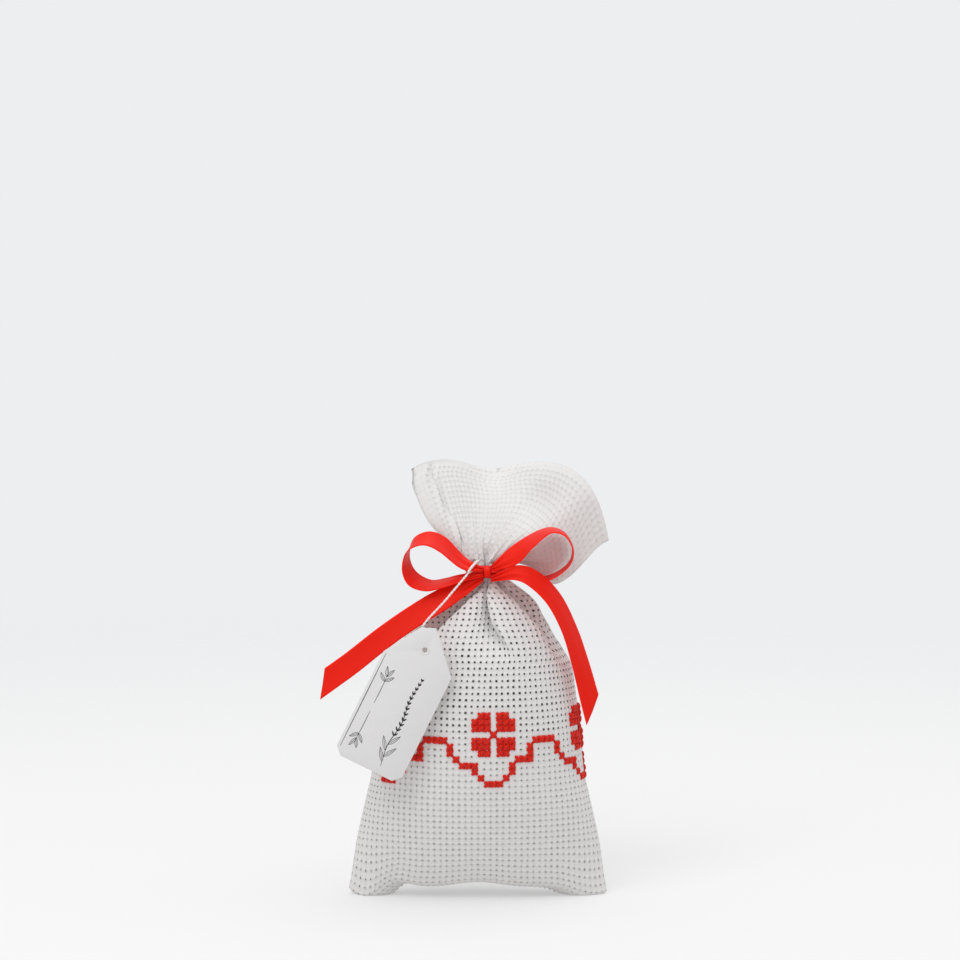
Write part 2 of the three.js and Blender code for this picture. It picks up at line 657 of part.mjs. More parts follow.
// A tail ends in a slanted cut: most of its length goes on to the longer edge.
const tail = (rows, reach, cut) => {
  const geometry = bowPart(rows, reach, 20)
  const at = geometry.getAttribute('position')
  const [a, b] = [rows.at(-1), rows.at(-2)]
  const along = new THREE.Vector3(a[0] - b[0], 0, a[2] - b[2]).normalize()
  const last = at.count - 4
  for (const [corners, share] of [[[0, 3], longEdgeShare], [[1, 2], longEdgeShare - 1]]) {
    for (const k of corners) {
      const p = new THREE.Vector3().fromBufferAttribute(at, last + k).addScaledVector(along, share * cut)
      at.setXYZ(last + k, p.x, p.y, p.z)
    }
  }
  return geometry
}
add('bow_tail_left', tail(leftTailShares, leftTailReach, leftTailCut), ribbonColor, 0.35)
add('bow_tail_right', tail(rightTailShares, rightTailReach, rightTailCut), ribbonColor, 0.35)

// The tag: a card with cut shoulders and one round hole, flat in front of the belly.
const tagOutline = () => {
  const halfWidth = tagWidth / 2
  const half = tagTopWidth / 2
  const top = tagHoleInset
  const bottom = tagHoleInset - tagLength
  const shape = new THREE.Shape()
  shape.moveTo(-half, top)
  shape.lineTo(-halfWidth, top - tagShoulder)
  shape.lineTo(-halfWidth, bottom + tagCorner)
  shape.lineTo(-halfWidth + tagCorner, bottom)
  shape.lineTo(halfWidth - tagCorner, bottom)
  shape.lineTo(halfWidth, bottom + tagCorner)
  shape.lineTo(halfWidth, top - tagShoulder)
  shape.lineTo(half, top)
  shape.closePath()
  const hole = new THREE.Path()
  hole.absarc(0, 0, tagHole / 2, 0, 2 * Math.PI, true)
  shape.holes.push(hole)
  return shape
}
// The string's own small loop goes round the upper side of the left bow loop.
const bowLine = new THREE.CatmullRomCurve3(leftLoopShares.map(
  ([x, y, z]) => new THREE.Vector3(x * loopReach, y * ribbonWidth, z * loopReach).add(knot)), false, 'catmullrom', 0.5)
const bowWidths = new THREE.CatmullRomCurve3(leftLoopShares.map(
  row => new THREE.Vector3(row[3], row[4], row[5]).multiplyScalar(ribbonWidth)), false, 'catmullrom', 0.5)
const loopPlace = 0.045
const loopCentre = bowLine.getPoint(loopPlace)
const loopAcross = bowWidths.getPoint(loopPlace)
const loopAlong = bowLine.getTangent(loopPlace)
const loopFace = loopAlong.clone().cross(loopAcross).normalize()
const loopClear = stringSlack + stringThick / 2
const stringLoop = () => {
  const count = 20
  const sides = 6
  const major = loopAcross.clone().normalize().multiplyScalar(loopAcross.length() / 2 + loopClear)
  const minor = loopFace.clone().multiplyScalar(ribbonThick / 2 + loopClear)
  const normal = loopFace.clone().cross(loopAcross).normalize()
  const points = []
  const triangles = []
  for (let i = 0; i < count; i++) {
    const angle = i / count * 2 * Math.PI
    const at = loopCentre.clone().addScaledVector(major, Math.cos(angle)).addScaledVector(minor, Math.sin(angle))
    const way = major.clone().multiplyScalar(-Math.sin(angle)).addScaledVector(minor, Math.cos(angle)).normalize()
    const out = normal.clone().cross(way)
    for (let k = 0; k < sides; k++) {
      const turn = k / sides * 2 * Math.PI
      points.push(at.clone().addScaledVector(out, Math.cos(turn) * stringThick / 2)
        .addScaledVector(normal, Math.sin(turn) * stringThick / 2))
    }
  }
  for (let i = 0; i < count; i++) triangles.push(...ringWall(i * sides, ((i + 1) % count) * sides, sides))
  return solid(points, triangles)
}
add('tag_string_loop', stringLoop(), threadColor, 0.8)

// The string hangs from that loop's lower end and is knotted behind the card's hole.
const stringTop = loopCentre.clone().addScaledVector(loopAcross.clone().normalize(), -(loopAcross.length() / 2 + loopClear))
const hole = new THREE.Vector3(knot.x - tagAside, -tagFront, knot.z - tagBelow)
const card = new THREE.ExtrudeGeometry(tagOutline(), { depth: tagThick, bevelEnabled: false, curveSegments: 10 })
card.rotateX(Math.PI / 2)
const tagCard = add('tag_card', card, paperColor, 0.6)
tagCard.position.copy(hole)
tagCard.rotation.y = tagTilt * deg
const stringBead = stringThick * stringKnotShare
const stringEnd = new THREE.Vector3(hole.x, hole.y + gap + stringBead / 2, hole.z)
const bead = new THREE.SphereGeometry(stringBead / 2, 10, 8)
add('tag_string_knot', bead, threadColor, 0.8).position.copy(stringEnd)
const stringBend = new THREE.Vector3(knot.x - stringBendAside, -stringBendFront, knot.z - stringBendBelow)
const upWay = stringTop.clone().sub(stringBend).normalize()
const downWay = stringBend.clone().sub(stringEnd).normalize()
const stringStart = stringEnd.clone().addScaledVector(downWay, stringBead / 2 + gap)
const stringFinish = stringTop.clone().addScaledVector(upWay, -(gap + stringThick))
const stringRoute = [
  stringStart, stringStart.clone().lerp(stringBend, 0.5), stringBend,
  stringBend.clone().lerp(stringFinish, 0.5), stringFinish
]
const stringSteps = 14
add('tag_string', cord(stringRoute, stringThick, stringSteps, 8), threadColor, 0.8)

// The part's own origin is under the middle of its box, on the surface that it stands on.
sachet.updateMatrixWorld(true)
const box = new THREE.Box3().setFromObject(sachet, true)
sachet.position.set(-(box.min.x + box.max.x) / 2, -(box.min.y + box.max.y) / 2, 0)

export default sachet
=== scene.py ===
"""Lavender sachet: a cross-stitched cloth pouch with a ribbon bow and a paper tag on a string."""

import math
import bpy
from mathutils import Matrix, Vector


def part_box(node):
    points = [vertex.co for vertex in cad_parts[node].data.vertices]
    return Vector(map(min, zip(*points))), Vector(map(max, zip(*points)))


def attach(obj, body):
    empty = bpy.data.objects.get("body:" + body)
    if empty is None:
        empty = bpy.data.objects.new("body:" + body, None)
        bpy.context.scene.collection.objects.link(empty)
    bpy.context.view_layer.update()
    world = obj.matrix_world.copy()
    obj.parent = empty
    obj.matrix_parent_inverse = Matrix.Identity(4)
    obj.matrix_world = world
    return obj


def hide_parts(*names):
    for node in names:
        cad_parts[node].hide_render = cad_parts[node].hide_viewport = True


bl_info = {
    "name": "Lavender Sachet",
    "version": (1, 0, 0),
    "blender": (4, 5, 0),
    "location": "View3D > Sidebar > Sachet",
    "description": "Builds a cross-stitched lavender sachet, piece by piece",
    "category": "Add Mesh",
}

import bmesh
import bpy
import numpy as np
from mathutils import Matrix, Vector

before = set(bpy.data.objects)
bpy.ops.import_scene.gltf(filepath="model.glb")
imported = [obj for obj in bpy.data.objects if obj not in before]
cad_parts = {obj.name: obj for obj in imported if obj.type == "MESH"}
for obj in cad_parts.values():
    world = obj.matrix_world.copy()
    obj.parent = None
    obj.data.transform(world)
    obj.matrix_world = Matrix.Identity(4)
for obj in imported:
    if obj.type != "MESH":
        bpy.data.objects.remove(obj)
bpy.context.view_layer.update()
MM = 0.001
DEG = math.pi / 180

# The cloth is counted in cells of one cross-stitch each. Lengths are in metres. The angles of the
# ruffle and the pleats are in degrees, and places along the pouch are shares of its size.
CELL = 1.8143 * MM
CELLS_AROUND = 90
CELLS_TO_NECK = 58
CELLS_ABOVE_NECK = 21
CELLS_HIGH = CELLS_TO_NECK + CELLS_ABOVE_NECK
FOOT_HALF_WIDTH = 38.3 * MM
FRONT_DEPTH = 21 * MM
BACK_DEPTH = 20 * MM
NECK_HEIGHT = 95.5 * MM
NECK_RADIUS = 5.5 * MM
NECK_SHIFT = 2.7 * MM
EAR_DIP_LEFT = 6.2 * MM
EAR_DIP_RIGHT = 5.4 * MM
# Where the two feet dip and over what width, in shares of the pouch's half width.
EAR_LEFT = (0.87, 0.15)
EAR_RIGHT = (0.89, 0.22)
BASE_SAG = 1.4 * MM
FILLED_ROW = 24
SEAM_HALF_DEPTH = 0.6 * MM
FAN_LEFT = 41
FAN_RIGHT = 77
DROOP_LEFT = 7
DROOP_RIGHT = 23
FAN_MIDDLE = 6
CORNER_ROUND = 4
SHOULDER_SHARE = 0.04
SHOULDER_ANGLE = 52
SHOULDER_SPREAD = 15
RUFFLE_EDGE_RADIUS = 1.7 * MM
MOUTH_GAP = 16 * MM
LEAN_AT_NECK = 27
LEAN_AT_RIM = 62
LEAN_SPREAD_LEFT = 66
LEAN_SPREAD_RIGHT = 52
DIMPLE_DEPTH = 4.5 * MM
DIMPLE_ANGLE = 38
DIMPLE_SPREAD = 11
DIMPLE_UP = 0.62
DIMPLE_TALL = 0.22
ROLL_FORWARD = 1.5 * MM
ROLL_START = 42
ROLL_END = 72
BAND_HEIGHT = 4 * MM

FRONT_SHARES = [
    (0.2, 0.046), (0.4, 0.058), (0.53, 0.1), (0.7, 0.18), (0.87, 0.3),
    (0.96, 0.4), (1, 0.53), (0.975, 0.66), (0.87, 0.79), (0.64, 0.9), (0.4, 0.965),
]
SIDE_SHARES = [
    (0.99, 0.026), (1, 0.053), (0.977, 0.084), (0.93, 0.178), (0.859, 0.303), (0.81, 0.396),
    (0.783, 0.521), (0.747, 0.646), (0.69, 0.74), (0.56, 0.849), (0.39, 0.927), (0.235, 0.975),
]
SEAM_HEIGHT_SHARE = 0.044
NECK_LOW = NECK_HEIGHT - BAND_HEIGHT / 2

BELLY_LENGTH = CELLS_TO_NECK * CELL - BAND_HEIGHT / 2
RUFFLE_START = CELLS_TO_NECK * CELL + BAND_HEIGHT / 2
RUFFLE_LENGTH = CELLS_HIGH * CELL - RUFFLE_START

# Where the pouch stands in the frame: the neck ribbon goes round the pouch's own axis.
_low, _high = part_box("neck_ribbon")
PLACE = Vector(((_low.x + _high.x) / 2 - NECK_SHIFT, (_low.y + _high.y) / 2, 0))
_low, _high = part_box("ribbon_knot")
KNOT = np.array((_low + _high) / 2)


def smooth(low, high, value):
    share = np.clip((value - low) / (high - low), 0, 1)
    return share * share * (3 - 2 * share)


def bell(value, centre, width):
    return np.exp(-(((value - centre) / width) ** 2))


def mix(a, b, share):
    return a + (b - a) * share


def spline(points, where):
    """Points of a uniform Catmull-Rom spline at the given shares of its way."""
    points = np.asarray(points, float)
    padded = np.vstack([2 * points[0] - points[1], points, 2 * points[-1] - points[-2]])
    spans = len(points) - 1
    at = np.clip(where, 0, 1) * spans
    first = np.minimum(at.astype(int), spans - 1)
    t = (at - first)[:, None]
    a, b, c, d = (padded[first + k] for k in range(4))
    return b + 0.5 * t * (c - a + t * (2 * a - 5 * b + 4 * c - d + t * (3 * (b - c) + d - a)))


def unit(vectors):
    return vectors / np.maximum(np.linalg.norm(vectors, axis=-1, keepdims=True), 1e-12)


def length_along(line):
    """How long a line of places is up to each of them."""
    return np.concatenate([[0], np.cumsum(np.linalg.norm(np.diff(line, axis=0), axis=1))])


def profile(reach, shares, *first):
    """An outline of the pouch from its foot to its neck: distance from the axis, and height."""
    points = [(out * reach, up * NECK_LOW) for out, up in shares]
    return spline([*first, *points, (NECK_RADIUS, NECK_LOW)], np.linspace(0, 1, 401))


def on_profile(line, share):
    """Distance and height at a share of an outline's length."""
    length = length_along(line)
    return [np.interp(share, length / length[-1], line[:, axis]) for axis in (0, 1)]


SEAM_START = (SEAM_HALF_DEPTH, SEAM_HEIGHT_SHARE * NECK_LOW)
SIDE_LOW = SIDE_SHARES[0][1] * NECK_LOW
SIDE_TUCK = 5 * MM
FRONT_LINE = profile(FRONT_DEPTH, FRONT_SHARES, SEAM_START)
BACK_LINE = profile(BACK_DEPTH, FRONT_SHARES, SEAM_START)
SIDE_LINE = profile(FOOT_HALF_WIDTH, SIDE_SHARES)

# Pleats below the neck: angle at the neck and below, reach down and depth as shares, how wide they
# are in degrees towards rising and falling angles, and how far their sharp edge laps over.
PLEATS = [
    (262, 214, 0.29, 0.48, 3, 20, -10), (271, 291, 0.27, 0.42, 3, 13, -10),
    (292, 338, 0.29, 0.5, 24, 3, 11), (24, 10, 0.24, 0.26, 5, 12, -6),
    (60, 48, 0.27, 0.3, 4, 14, -7), (98, 104, 0.24, 0.28, 13, 4, 7),
    (138, 150, 0.28, 0.3, 15, 4, 7), (186, 184, 0.22, 0.26, 5, 12, -5),
]
MOST_DRAWN = 0.62
FLUTES = 14
FLUTE_SHARE = 0.06


def pleat_draw(phi, up):
    """How far the pleats draw the cloth in, how much cloth their folds swallow, and the turn
    that laps their sharp edges over them."""
    angle = np.degrees(phi) % 360
    drawn = np.zeros(np.broadcast(phi, up).shape)
    swallow = np.zeros_like(drawn)
    lapped = np.zeros_like(drawn)
    for at_neck, below, reach, depth, rising, falling, lap in PLEATS:
        down = np.clip((1 - up) / reach, 0, 1)
        away = (angle - mix(at_neck, below, down) + 540) % 360 - 180
        fade = 1 - smooth(0.5, 1, down)
        wider = 1 + 0.5 * down
        drawn += depth * fade * bell(away, 0, np.where(away > 0, rising, falling) * wider)
        sharp = min(rising, falling) * wider
        toward = -math.copysign(1, lap)
        swallow += fade * bell(away, 0.8 * toward, sharp)
        lapped += lap * fade * smooth(0, 0.25, down) * bell(away, 1.3 * sharp * toward, 0.9 * sharp)
    drawn += FLUTE_SHARE * smooth(0.9, 1, up) * (0.5 + 0.5 * np.cos(FLUTES * phi))
    return 1 - np.minimum(drawn, MOST_DRAWN), swallow, lapped * DEG


def belly(along, phi):
    """Places on the pouch below the neck, and how much cloth is folded away there."""
    t = np.clip(along / BELLY_LENGTH, 0, 1)
    front, front_z = on_profile(FRONT_LINE, t)
    back, _ = on_profile(BACK_LINE, t)
    side_z = front_z - (SEAM_START[1] - SIDE_LOW) * (1 - smooth(0, 0.3, t))
    side = np.interp(side_z, SIDE_LINE[:, 1], SIDE_LINE[:, 0]) - SIDE_TUCK * (1 - smooth(0, 0.09, t))
    draw, swallow, lapped = pleat_draw(phi, t)
    turn, out = np.cos(phi + lapped), np.sin(phi + lapped)
    aside = np.abs(turn)
    pointed = mix(1.4, 1, smooth(0, 0.35, t))
    x = NECK_SHIFT * smooth(0.6, 1, t) + side * turn * draw
    y = np.sign(out) * np.where(out < 0, front, back) * np.abs(out) ** pointed * draw
    ear = np.where(turn < 0, EAR_DIP_LEFT * bell(aside, *EAR_LEFT), EAR_DIP_RIGHT * bell(aside, *EAR_RIGHT))
    sag = BASE_SAG * smooth(0, 0.4, aside) * (1 - smooth(0.45, np.where(turn < 0, 0.65, 0.9), aside))
    z = mix(front_z, side_z, aside ** 6) - (ear + sag) * (1 - smooth(0.05, 0.22, t))
    return np.stack([x, y, np.maximum(z, 0)], -1), swallow


def ruffle(along, phi):
    """Places on the flared ruffle above the neck ribbon."""
    share = np.maximum(along - RUFFLE_START, 0) / RUFFLE_LENGTH
    turn, out = np.cos(phi), np.sin(phi)
    opened = smooth(0, 0.85, share)
    swell = np.sin(math.pi * np.clip(share, 0, 1))
    left = -FAN_LEFT - DROOP_LEFT * swell ** 2 + CORNER_ROUND * smooth(0.86, 1, share)
    right = FAN_RIGHT + DROOP_RIGHT * swell ** 2
    rounded = np.abs(turn) * (1 + 0.5 * out * out * np.abs(turn) ** 3)
    fan = mix((left + right) / 2, np.where(turn > 0, right, left), rounded) * DEG
    spread = np.where(fan < FAN_MIDDLE * DEG, LEAN_SPREAD_LEFT, LEAN_SPREAD_RIGHT) * DEG
    lean = np.maximum(np.cos(np.clip((fan - FAN_MIDDLE * DEG) / spread, -1, 1) * math.pi / 2), 0) ** 2
    start = LEAN_AT_NECK * lean * DEG
    end = start + np.maximum((LEAN_AT_RIM - LEAN_AT_NECK) * lean * DEG, 0.001)
    at = mix(start, end, share)
    bend = RUFFLE_LENGTH / (end - start)
    shoulder = 1 + SHOULDER_SHARE * bell(fan / DEG, SHOULDER_ANGLE, SHOULDER_SPREAD)
    reach = bend * (np.sin(at) - np.sin(start)) * shoulder
    dimple = bell(fan / DEG, DIMPLE_ANGLE, DIMPLE_SPREAD) * bell(share, DIMPLE_UP, DIMPLE_TALL)
    back = bend * (np.cos(start) - np.cos(at)) + DIMPLE_DEPTH * dimple
    back = back - ROLL_FORWARD * smooth(ROLL_START, ROLL_END, fan / DEG) * swell
    draw, _, _ = pleat_draw(phi, 1.0)
    gathered = NECK_RADIUS * mix(draw, 1, smooth(0, 0.25, share))
    radius = mix(gathered, RUFFLE_EDGE_RADIUS, opened)
    parted = MOUTH_GAP * np.maximum(out, 0) ** 2 * share ** 1.5
    x = NECK_SHIFT + reach * np.sin(fan) + radius * turn * np.cos(fan * opened)
    z = NECK_HEIGHT + BAND_HEIGHT / 2 + reach * np.cos(fan) - radius * turn * np.sin(fan * opened)
    return np.stack([x, back + parted + radius * out, z], -1)


RING_STEPS = 240
LEAST_FOLD = 0.3 * MM
MOST_FOLDED = 12


def cloth_ring(row, columns):
    """Places of weave columns on one row. Each quarter of the ring keeps its count of columns, and
    the cloth that a quarter has too much of lies in its pleats."""
    along = row * CELL
    quarter = CELLS_AROUND / 4
    places = np.empty((len(columns), 3))
    for index in range(4):
        inside = (columns >= index * quarter) & (columns <= (index + 1) * quarter)
        phi = (index + 1 + np.linspace(0, 1, RING_STEPS + 1)) * math.pi / 2
        if along <= BELLY_LENGTH:
            line, swallow = belly(along, phi)
        elif along >= RUFFLE_START:
            line, swallow = ruffle(along, phi), np.zeros(len(phi))
        else:
            line, swallow = belly(BELLY_LENGTH, phi)
            line[:, 2] += along - BELLY_LENGTH
        step = np.linalg.norm(np.diff(line, axis=0), axis=1)
        fold = (swallow[1:] + swallow[:-1]) / 2 * step
        spare = quarter * CELL - step.sum()
        folded = min(max(spare, 0) / max(fold.sum(), LEAST_FOLD), MOST_FOLDED)
        length = np.concatenate([[0], np.cumsum(step + folded * fold)])
        wanted = (columns[inside] - index * quarter) / quarter * length[-1]
        for axis in range(3):
            places[inside, axis] = np.interp(wanted, length, line[:, axis])
    return places + np.array(PLACE)


def cloth_rows(rows, columns):
    """Places of a grid of weave columns and rows; each row can have columns of its own."""
    columns = np.broadcast_to(columns, (len(rows), np.shape(columns)[-1]))
    return np.stack([cloth_ring(row, line) for row, line in zip(rows, columns)])


def grid_normals(grid):
    """Unit normals of a grid of places, pointing out of the pouch."""
    return unit(np.cross(np.gradient(grid, axis=1), np.gradient(grid, axis=0)))


TABLE_STEPS = 4


class ClothTable:
    """The cloth sampled on a fine grid, to place stitches on it."""

    def __init__(self):
        self.rows = np.arange(CELLS_HIGH * TABLE_STEPS + 1) / TABLE_STEPS
        self.columns = np.arange(CELLS_AROUND * TABLE_STEPS + 1) / TABLE_STEPS
        self.places = cloth_rows(self.rows, self.columns)
        self.normals = grid_normals(self.places)

    def at(self, column, row):
        """Place and normal at weave columns and rows given as arrays."""
        x = np.mod(column, CELLS_AROUND) * TABLE_STEPS
        y = np.clip(row, 0, CELLS_HIGH) * TABLE_STEPS
        i = np.minimum(x.astype(int), len(self.columns) - 2)
        j = np.minimum(y.astype(int), len(self.rows) - 2)
        u, v = (x - i)[..., None], (y - j)[..., None]

        def blend(grid):
            low = mix(grid[j, i], grid[j, i + 1], u)
            return mix(low, mix(grid[j + 1, i], grid[j + 1, i + 1], u), v)

        return blend(self.places), unit(blend(self.normals))


def grid_faces(rows, columns, around=False, closed=False):
    """Quads of a grid of places. Around joins its last column to the first, closed its last row."""
    faces = []
    for j in range(rows if closed else rows - 1):
        for i in range(columns if around else columns - 1):
            here, above, beside = j * columns, (j + 1) % rows * columns, (i + 1) % columns
            faces.append((here + i, here + beside, above + beside, above + i))
    return faces


def tube_faces(rings, sides, closed=False):
    """Quads between rings of places, with a cap on both ends unless the tube is closed."""
    faces = grid_faces(rings, sides, around=True, closed=closed)
    if not closed:
        faces += [tuple(reversed(range(sides))), tuple(range((rings - 1) * sides, rings * sides))]
    return faces


def joined(parts):
    """Parts of places, faces and pattern coordinates as one."""
    places, faces, pattern = [], [], []
    for more_places, more_faces, more_pattern in parts:
        faces += [tuple(len(places) + k for k in face) for face in more_faces]
        places += more_places
        pattern += more_pattern
    return places, faces, pattern


def new_piece(name, places, faces, smooth_faces=True):
    mesh = bpy.data.meshes.new(name)
    mesh.from_pydata(np.asarray(places, float).tolist(), [], faces)
    mesh.validate()
    if smooth_faces:
        mesh.shade_smooth()
    piece = bpy.data.objects.new(name, mesh)
    bpy.context.scene.collection.objects.link(piece)
    return piece


def primitive(name, add, **settings):
    """A Blender primitive at the origin, with its turn in its mesh."""
    add(location=(0, 0, 0), **settings)
    piece = bpy.context.object
    piece.name = name
    bpy.ops.object.transform_apply(rotation=True)
    return piece


def keep_pattern(piece, name, values):
    """Stores pattern coordinates on the points, for materials to read."""
    attribute = piece.data.attributes.new(name, "FLOAT_VECTOR", "POINT")
    attribute.data.foreach_set("vector", np.asarray(values, np.float32).ravel())


def select_only(piece):
    bpy.ops.object.select_all(action="DESELECT")
    piece.select_set(True)
    bpy.context.view_layer.objects.active = piece


def apply_modifiers(piece):
    select_only(piece)
    for modifier in list(piece.modifiers):
        bpy.ops.object.modifier_apply(modifier=modifier.name)


def thicken(piece, thickness, offset):
    """Gives a sheet its thickness: inwards (-1), outwards (1) or half each way (0)."""
    wall = piece.modifiers.new("thickness", "SOLIDIFY")
    wall.thickness = thickness
    wall.offset = offset
    apply_modifiers(piece)


def outward(piece):
    """Turns all faces of closed shells outwards."""
    mesh = bmesh.new()
    mesh.from_mesh(piece.data)
    bmesh.ops.recalc_face_normals(mesh, faces=mesh.faces)
    mesh.to_mesh(piece.data)
    mesh.free()


def dress(piece, material, body, slot, *nodes):
    """Gives a finished piece its material and its body, and hides the CAD parts of the nodes it stands for.
    The slot is not used.
    """
    piece.data.materials.clear()
    piece.data.materials.append(material)
    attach(piece, body)
    if nodes:
        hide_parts(*nodes)
    return piece


def thread_piece(name, parts, material, body, slot, node):
    """A finished piece from the places, faces and strand coordinates of threads."""
    places, faces, pattern = parts
    piece = new_piece(name, places, faces)
    outward(piece)
    keep_pattern(piece, "strand", pattern)
    return dress(piece, material, body, slot, node)


class Wire:
    """An output of a shader node, with sums written as Python expressions."""

    def __init__(self, shader, socket):
        self.shader = shader
        self.socket = socket

    def math(self, operation, *others):
        values = dict(enumerate((self,) + others))
        return self.shader.node("ShaderNodeMath", {"operation": operation}, values)

    def __add__(self, other):
        return self.math("ADD", other)

    __radd__ = __add__

    def __mul__(self, other):
        return self.math("MULTIPLY", other)

    def __sub__(self, other):
        return self.math("SUBTRACT", other)

    def __rsub__(self, other):
        return self * -1 + other

    def __truediv__(self, other):
        return self.math("DIVIDE", other)

    def __pow__(self, other):
        return self.math("POWER", other)


class Shader:
    """A material with one Principled shader, built node by node."""

    def __init__(self, name, **plain):
        self.material = bpy.data.materials.new(name)
        self.material.use_nodes = True
        self.tree = self.material.node_tree
        self.surface = self.tree.nodes["Principled BSDF"]
        for socket, value in plain.items():
            self.surface.inputs[socket.replace("_", " ")].default_value = value

    def node(self, kind, settings=None, inputs=None, output=0):
        """Adds any node: settings are set first, then the values or links of its sockets."""
        made = self.tree.nodes.new(kind)
        for key, value in (settings or {}).items():
            setattr(made, key, value)
        for key, value in (inputs or {}).items():
            self.join(made.inputs[key], value)
        return Wire(self, made.outputs[output])

    def join(self, socket, value):
        if isinstance(value, Wire):
            self.tree.links.new(value.socket, socket)
        else:
            socket.default_value = value

    def feed(self, socket, value):
        self.join(self.surface.inputs[socket], value)

    def pattern(self, name):
        """The three numbers of a stored pattern coordinate."""
        vector = self.node("ShaderNodeAttribute", {"attribute_name": name}, output="Vector")
        split = self.node("ShaderNodeSeparateXYZ", inputs={0: vector})
        return vector, [Wire(self, split.socket.node.outputs[k]) for k in range(3)]

    def place(self):
        return self.node("ShaderNodeTexCoord", output="Object")

    def noise(self, where, scale, detail=2.0):
        settings = {"Vector": where, "Scale": scale, "Detail": detail}
        return self.node("ShaderNodeTexNoise", inputs=settings, output="Fac")

    def ramp(self, value, low, high, first=0, last=1):
        """A number that goes evenly from first to last while value goes from low to high."""
        return self.node("ShaderNodeMapRange", inputs={0: value, 1: low, 2: high, 3: first, 4: last})

    def tint(self, share, first, second):
        """A colour between two others."""
        settings = {"data_type": "RGBA"}
        return self.node("ShaderNodeMix", settings, {0: share, 6: first, 7: second}, output=2)

    def bump(self, height, strength, distance):
        values = {"Height": height, "Strength": strength, "Distance": distance}
        self.feed("Normal", self.node("ShaderNodeBump", inputs=values, output="Normal"))

    def paint(self, share, color, low, high):
        """A colour that goes from a darker to a lighter shade of itself."""
        self.feed("Base Color", self.tint(share, shade(color, low), shade(color, high)))


def rgba(color):
    return (*color, 1.0)


def shade(color, factor):
    return (*(min(channel * factor, 1.0) for channel in color), 1.0)


def wave(value, count):
    """A rounded ridge that repeats count times for each unit of value."""
    return (value * (count * math.pi)).math("SINE").math("ABSOLUTE")


def near_whole(value):
    """Distance to the nearest whole number."""
    return (value - value.math("ROUND")).math("ABSOLUTE")


PAINTED_HOLE_SHADE = 0.6
PAINTED_INSIDE_SHADE = 0.12


def cloth_material(name, color):
    """Even-weave cotton: four threads each way in a cell, with painted shade round the holes and at small
    painted pinholes, painted shade over the ruffle, and painted shade on the inner side over the filling.
    """
    shader = Shader(name, Roughness=0.9, Sheen_Weight=0.15, Sheen_Roughness=0.6)
    vector, (column, row, inside) = shader.pattern("weave")
    fuzz = shader.noise(vector, 3, 3)
    patch = shader.noise(vector, 0.08)
    over = ((column * 4 + 0.5).math("FLOOR") + (row * 4 + 0.5).math("FLOOR")).math("MODULO", 2)
    threads = wave(column, 4) * over + wave(row, 4) * (1 - over)
    # Darker round each hole and at the small pinholes between them: painted shade.
    from_hole = (near_whole(column) ** 2 + near_whole(row) ** 2) ** 0.5
    open_place = from_hole.math("SMOOTH_MIN", 0.42, 0.08) / 0.42
    # Over the ruffle the painted shade round the holes is lifted, and the cloth is painted darker there:
    # painted shade.
    ruffled = shader.ramp(row, CELLS_TO_NECK, CELLS_TO_NECK + 5, 0, 0.5)
    open_place = open_place + (1 - open_place) * ruffled
    from_half = (near_whole(column * 2) ** 2 + near_whole(row * 2) ** 2) ** 0.5 * 0.5
    pinhole = from_half.math("SMOOTH_MIN", 0.1, 0.04) / 0.1
    tone = open_place * 0.42 + pinhole * 0.2 + threads * 0.13 + fuzz * 0.25
    # Random mottled tone of the cloth, with the painted shade over the ruffle.
    mottle_and_ruffle_shade = shader.tint(patch + ruffled * -0.6, shade(color, 0.95), shade(color, 1.02))
    lit = shader.tint(tone, shade(color, PAINTED_HOLE_SHADE), mottle_and_ruffle_shade)
    # The inner side of the cloth over the filling is painted nearly black: painted shade, where little light
    # gets in.
    painted_inside_shade_mask = inside * shader.ramp(row, FILLED_ROW, FILLED_ROW + 10)
    painted_inside_shade_mask = painted_inside_shade_mask * shader.ramp(row, CELLS_TO_NECK - 4, CELLS_TO_NECK, 1, 0)
    shader.feed("Base Color", shader.tint(painted_inside_shade_mask, lit, shade(color, PAINTED_INSIDE_SHADE)))
    shader.bump(threads * 0.7 + fuzz * 0.6 + open_place * 0.5, 0.55, 0.12 * MM)
    return shader.material


def thread_material(name, color, strands):
    """Twisted thread: fine strands that wind round each stitch."""
    tinted = tuple(0.25 + 0.75 * channel / max(color) for channel in color)
    shader = Shader(name, Specular_IOR_Level=0.4, Specular_Tint=rgba(tinted))
    vector, (along, around, _) = shader.pattern("strand")
    ridges = wave(around + along * 0.28, strands)
    each = shader.noise(vector, 0.9)
    shader.paint(ridges * 0.5 + each * 0.5, color, 0.62, 1.18)
    shader.feed("Roughness", 0.62 - ridges * 0.16)
    shader.bump(ridges + each * 0.4, 0.6, 0.08 * MM)
    return shader.material


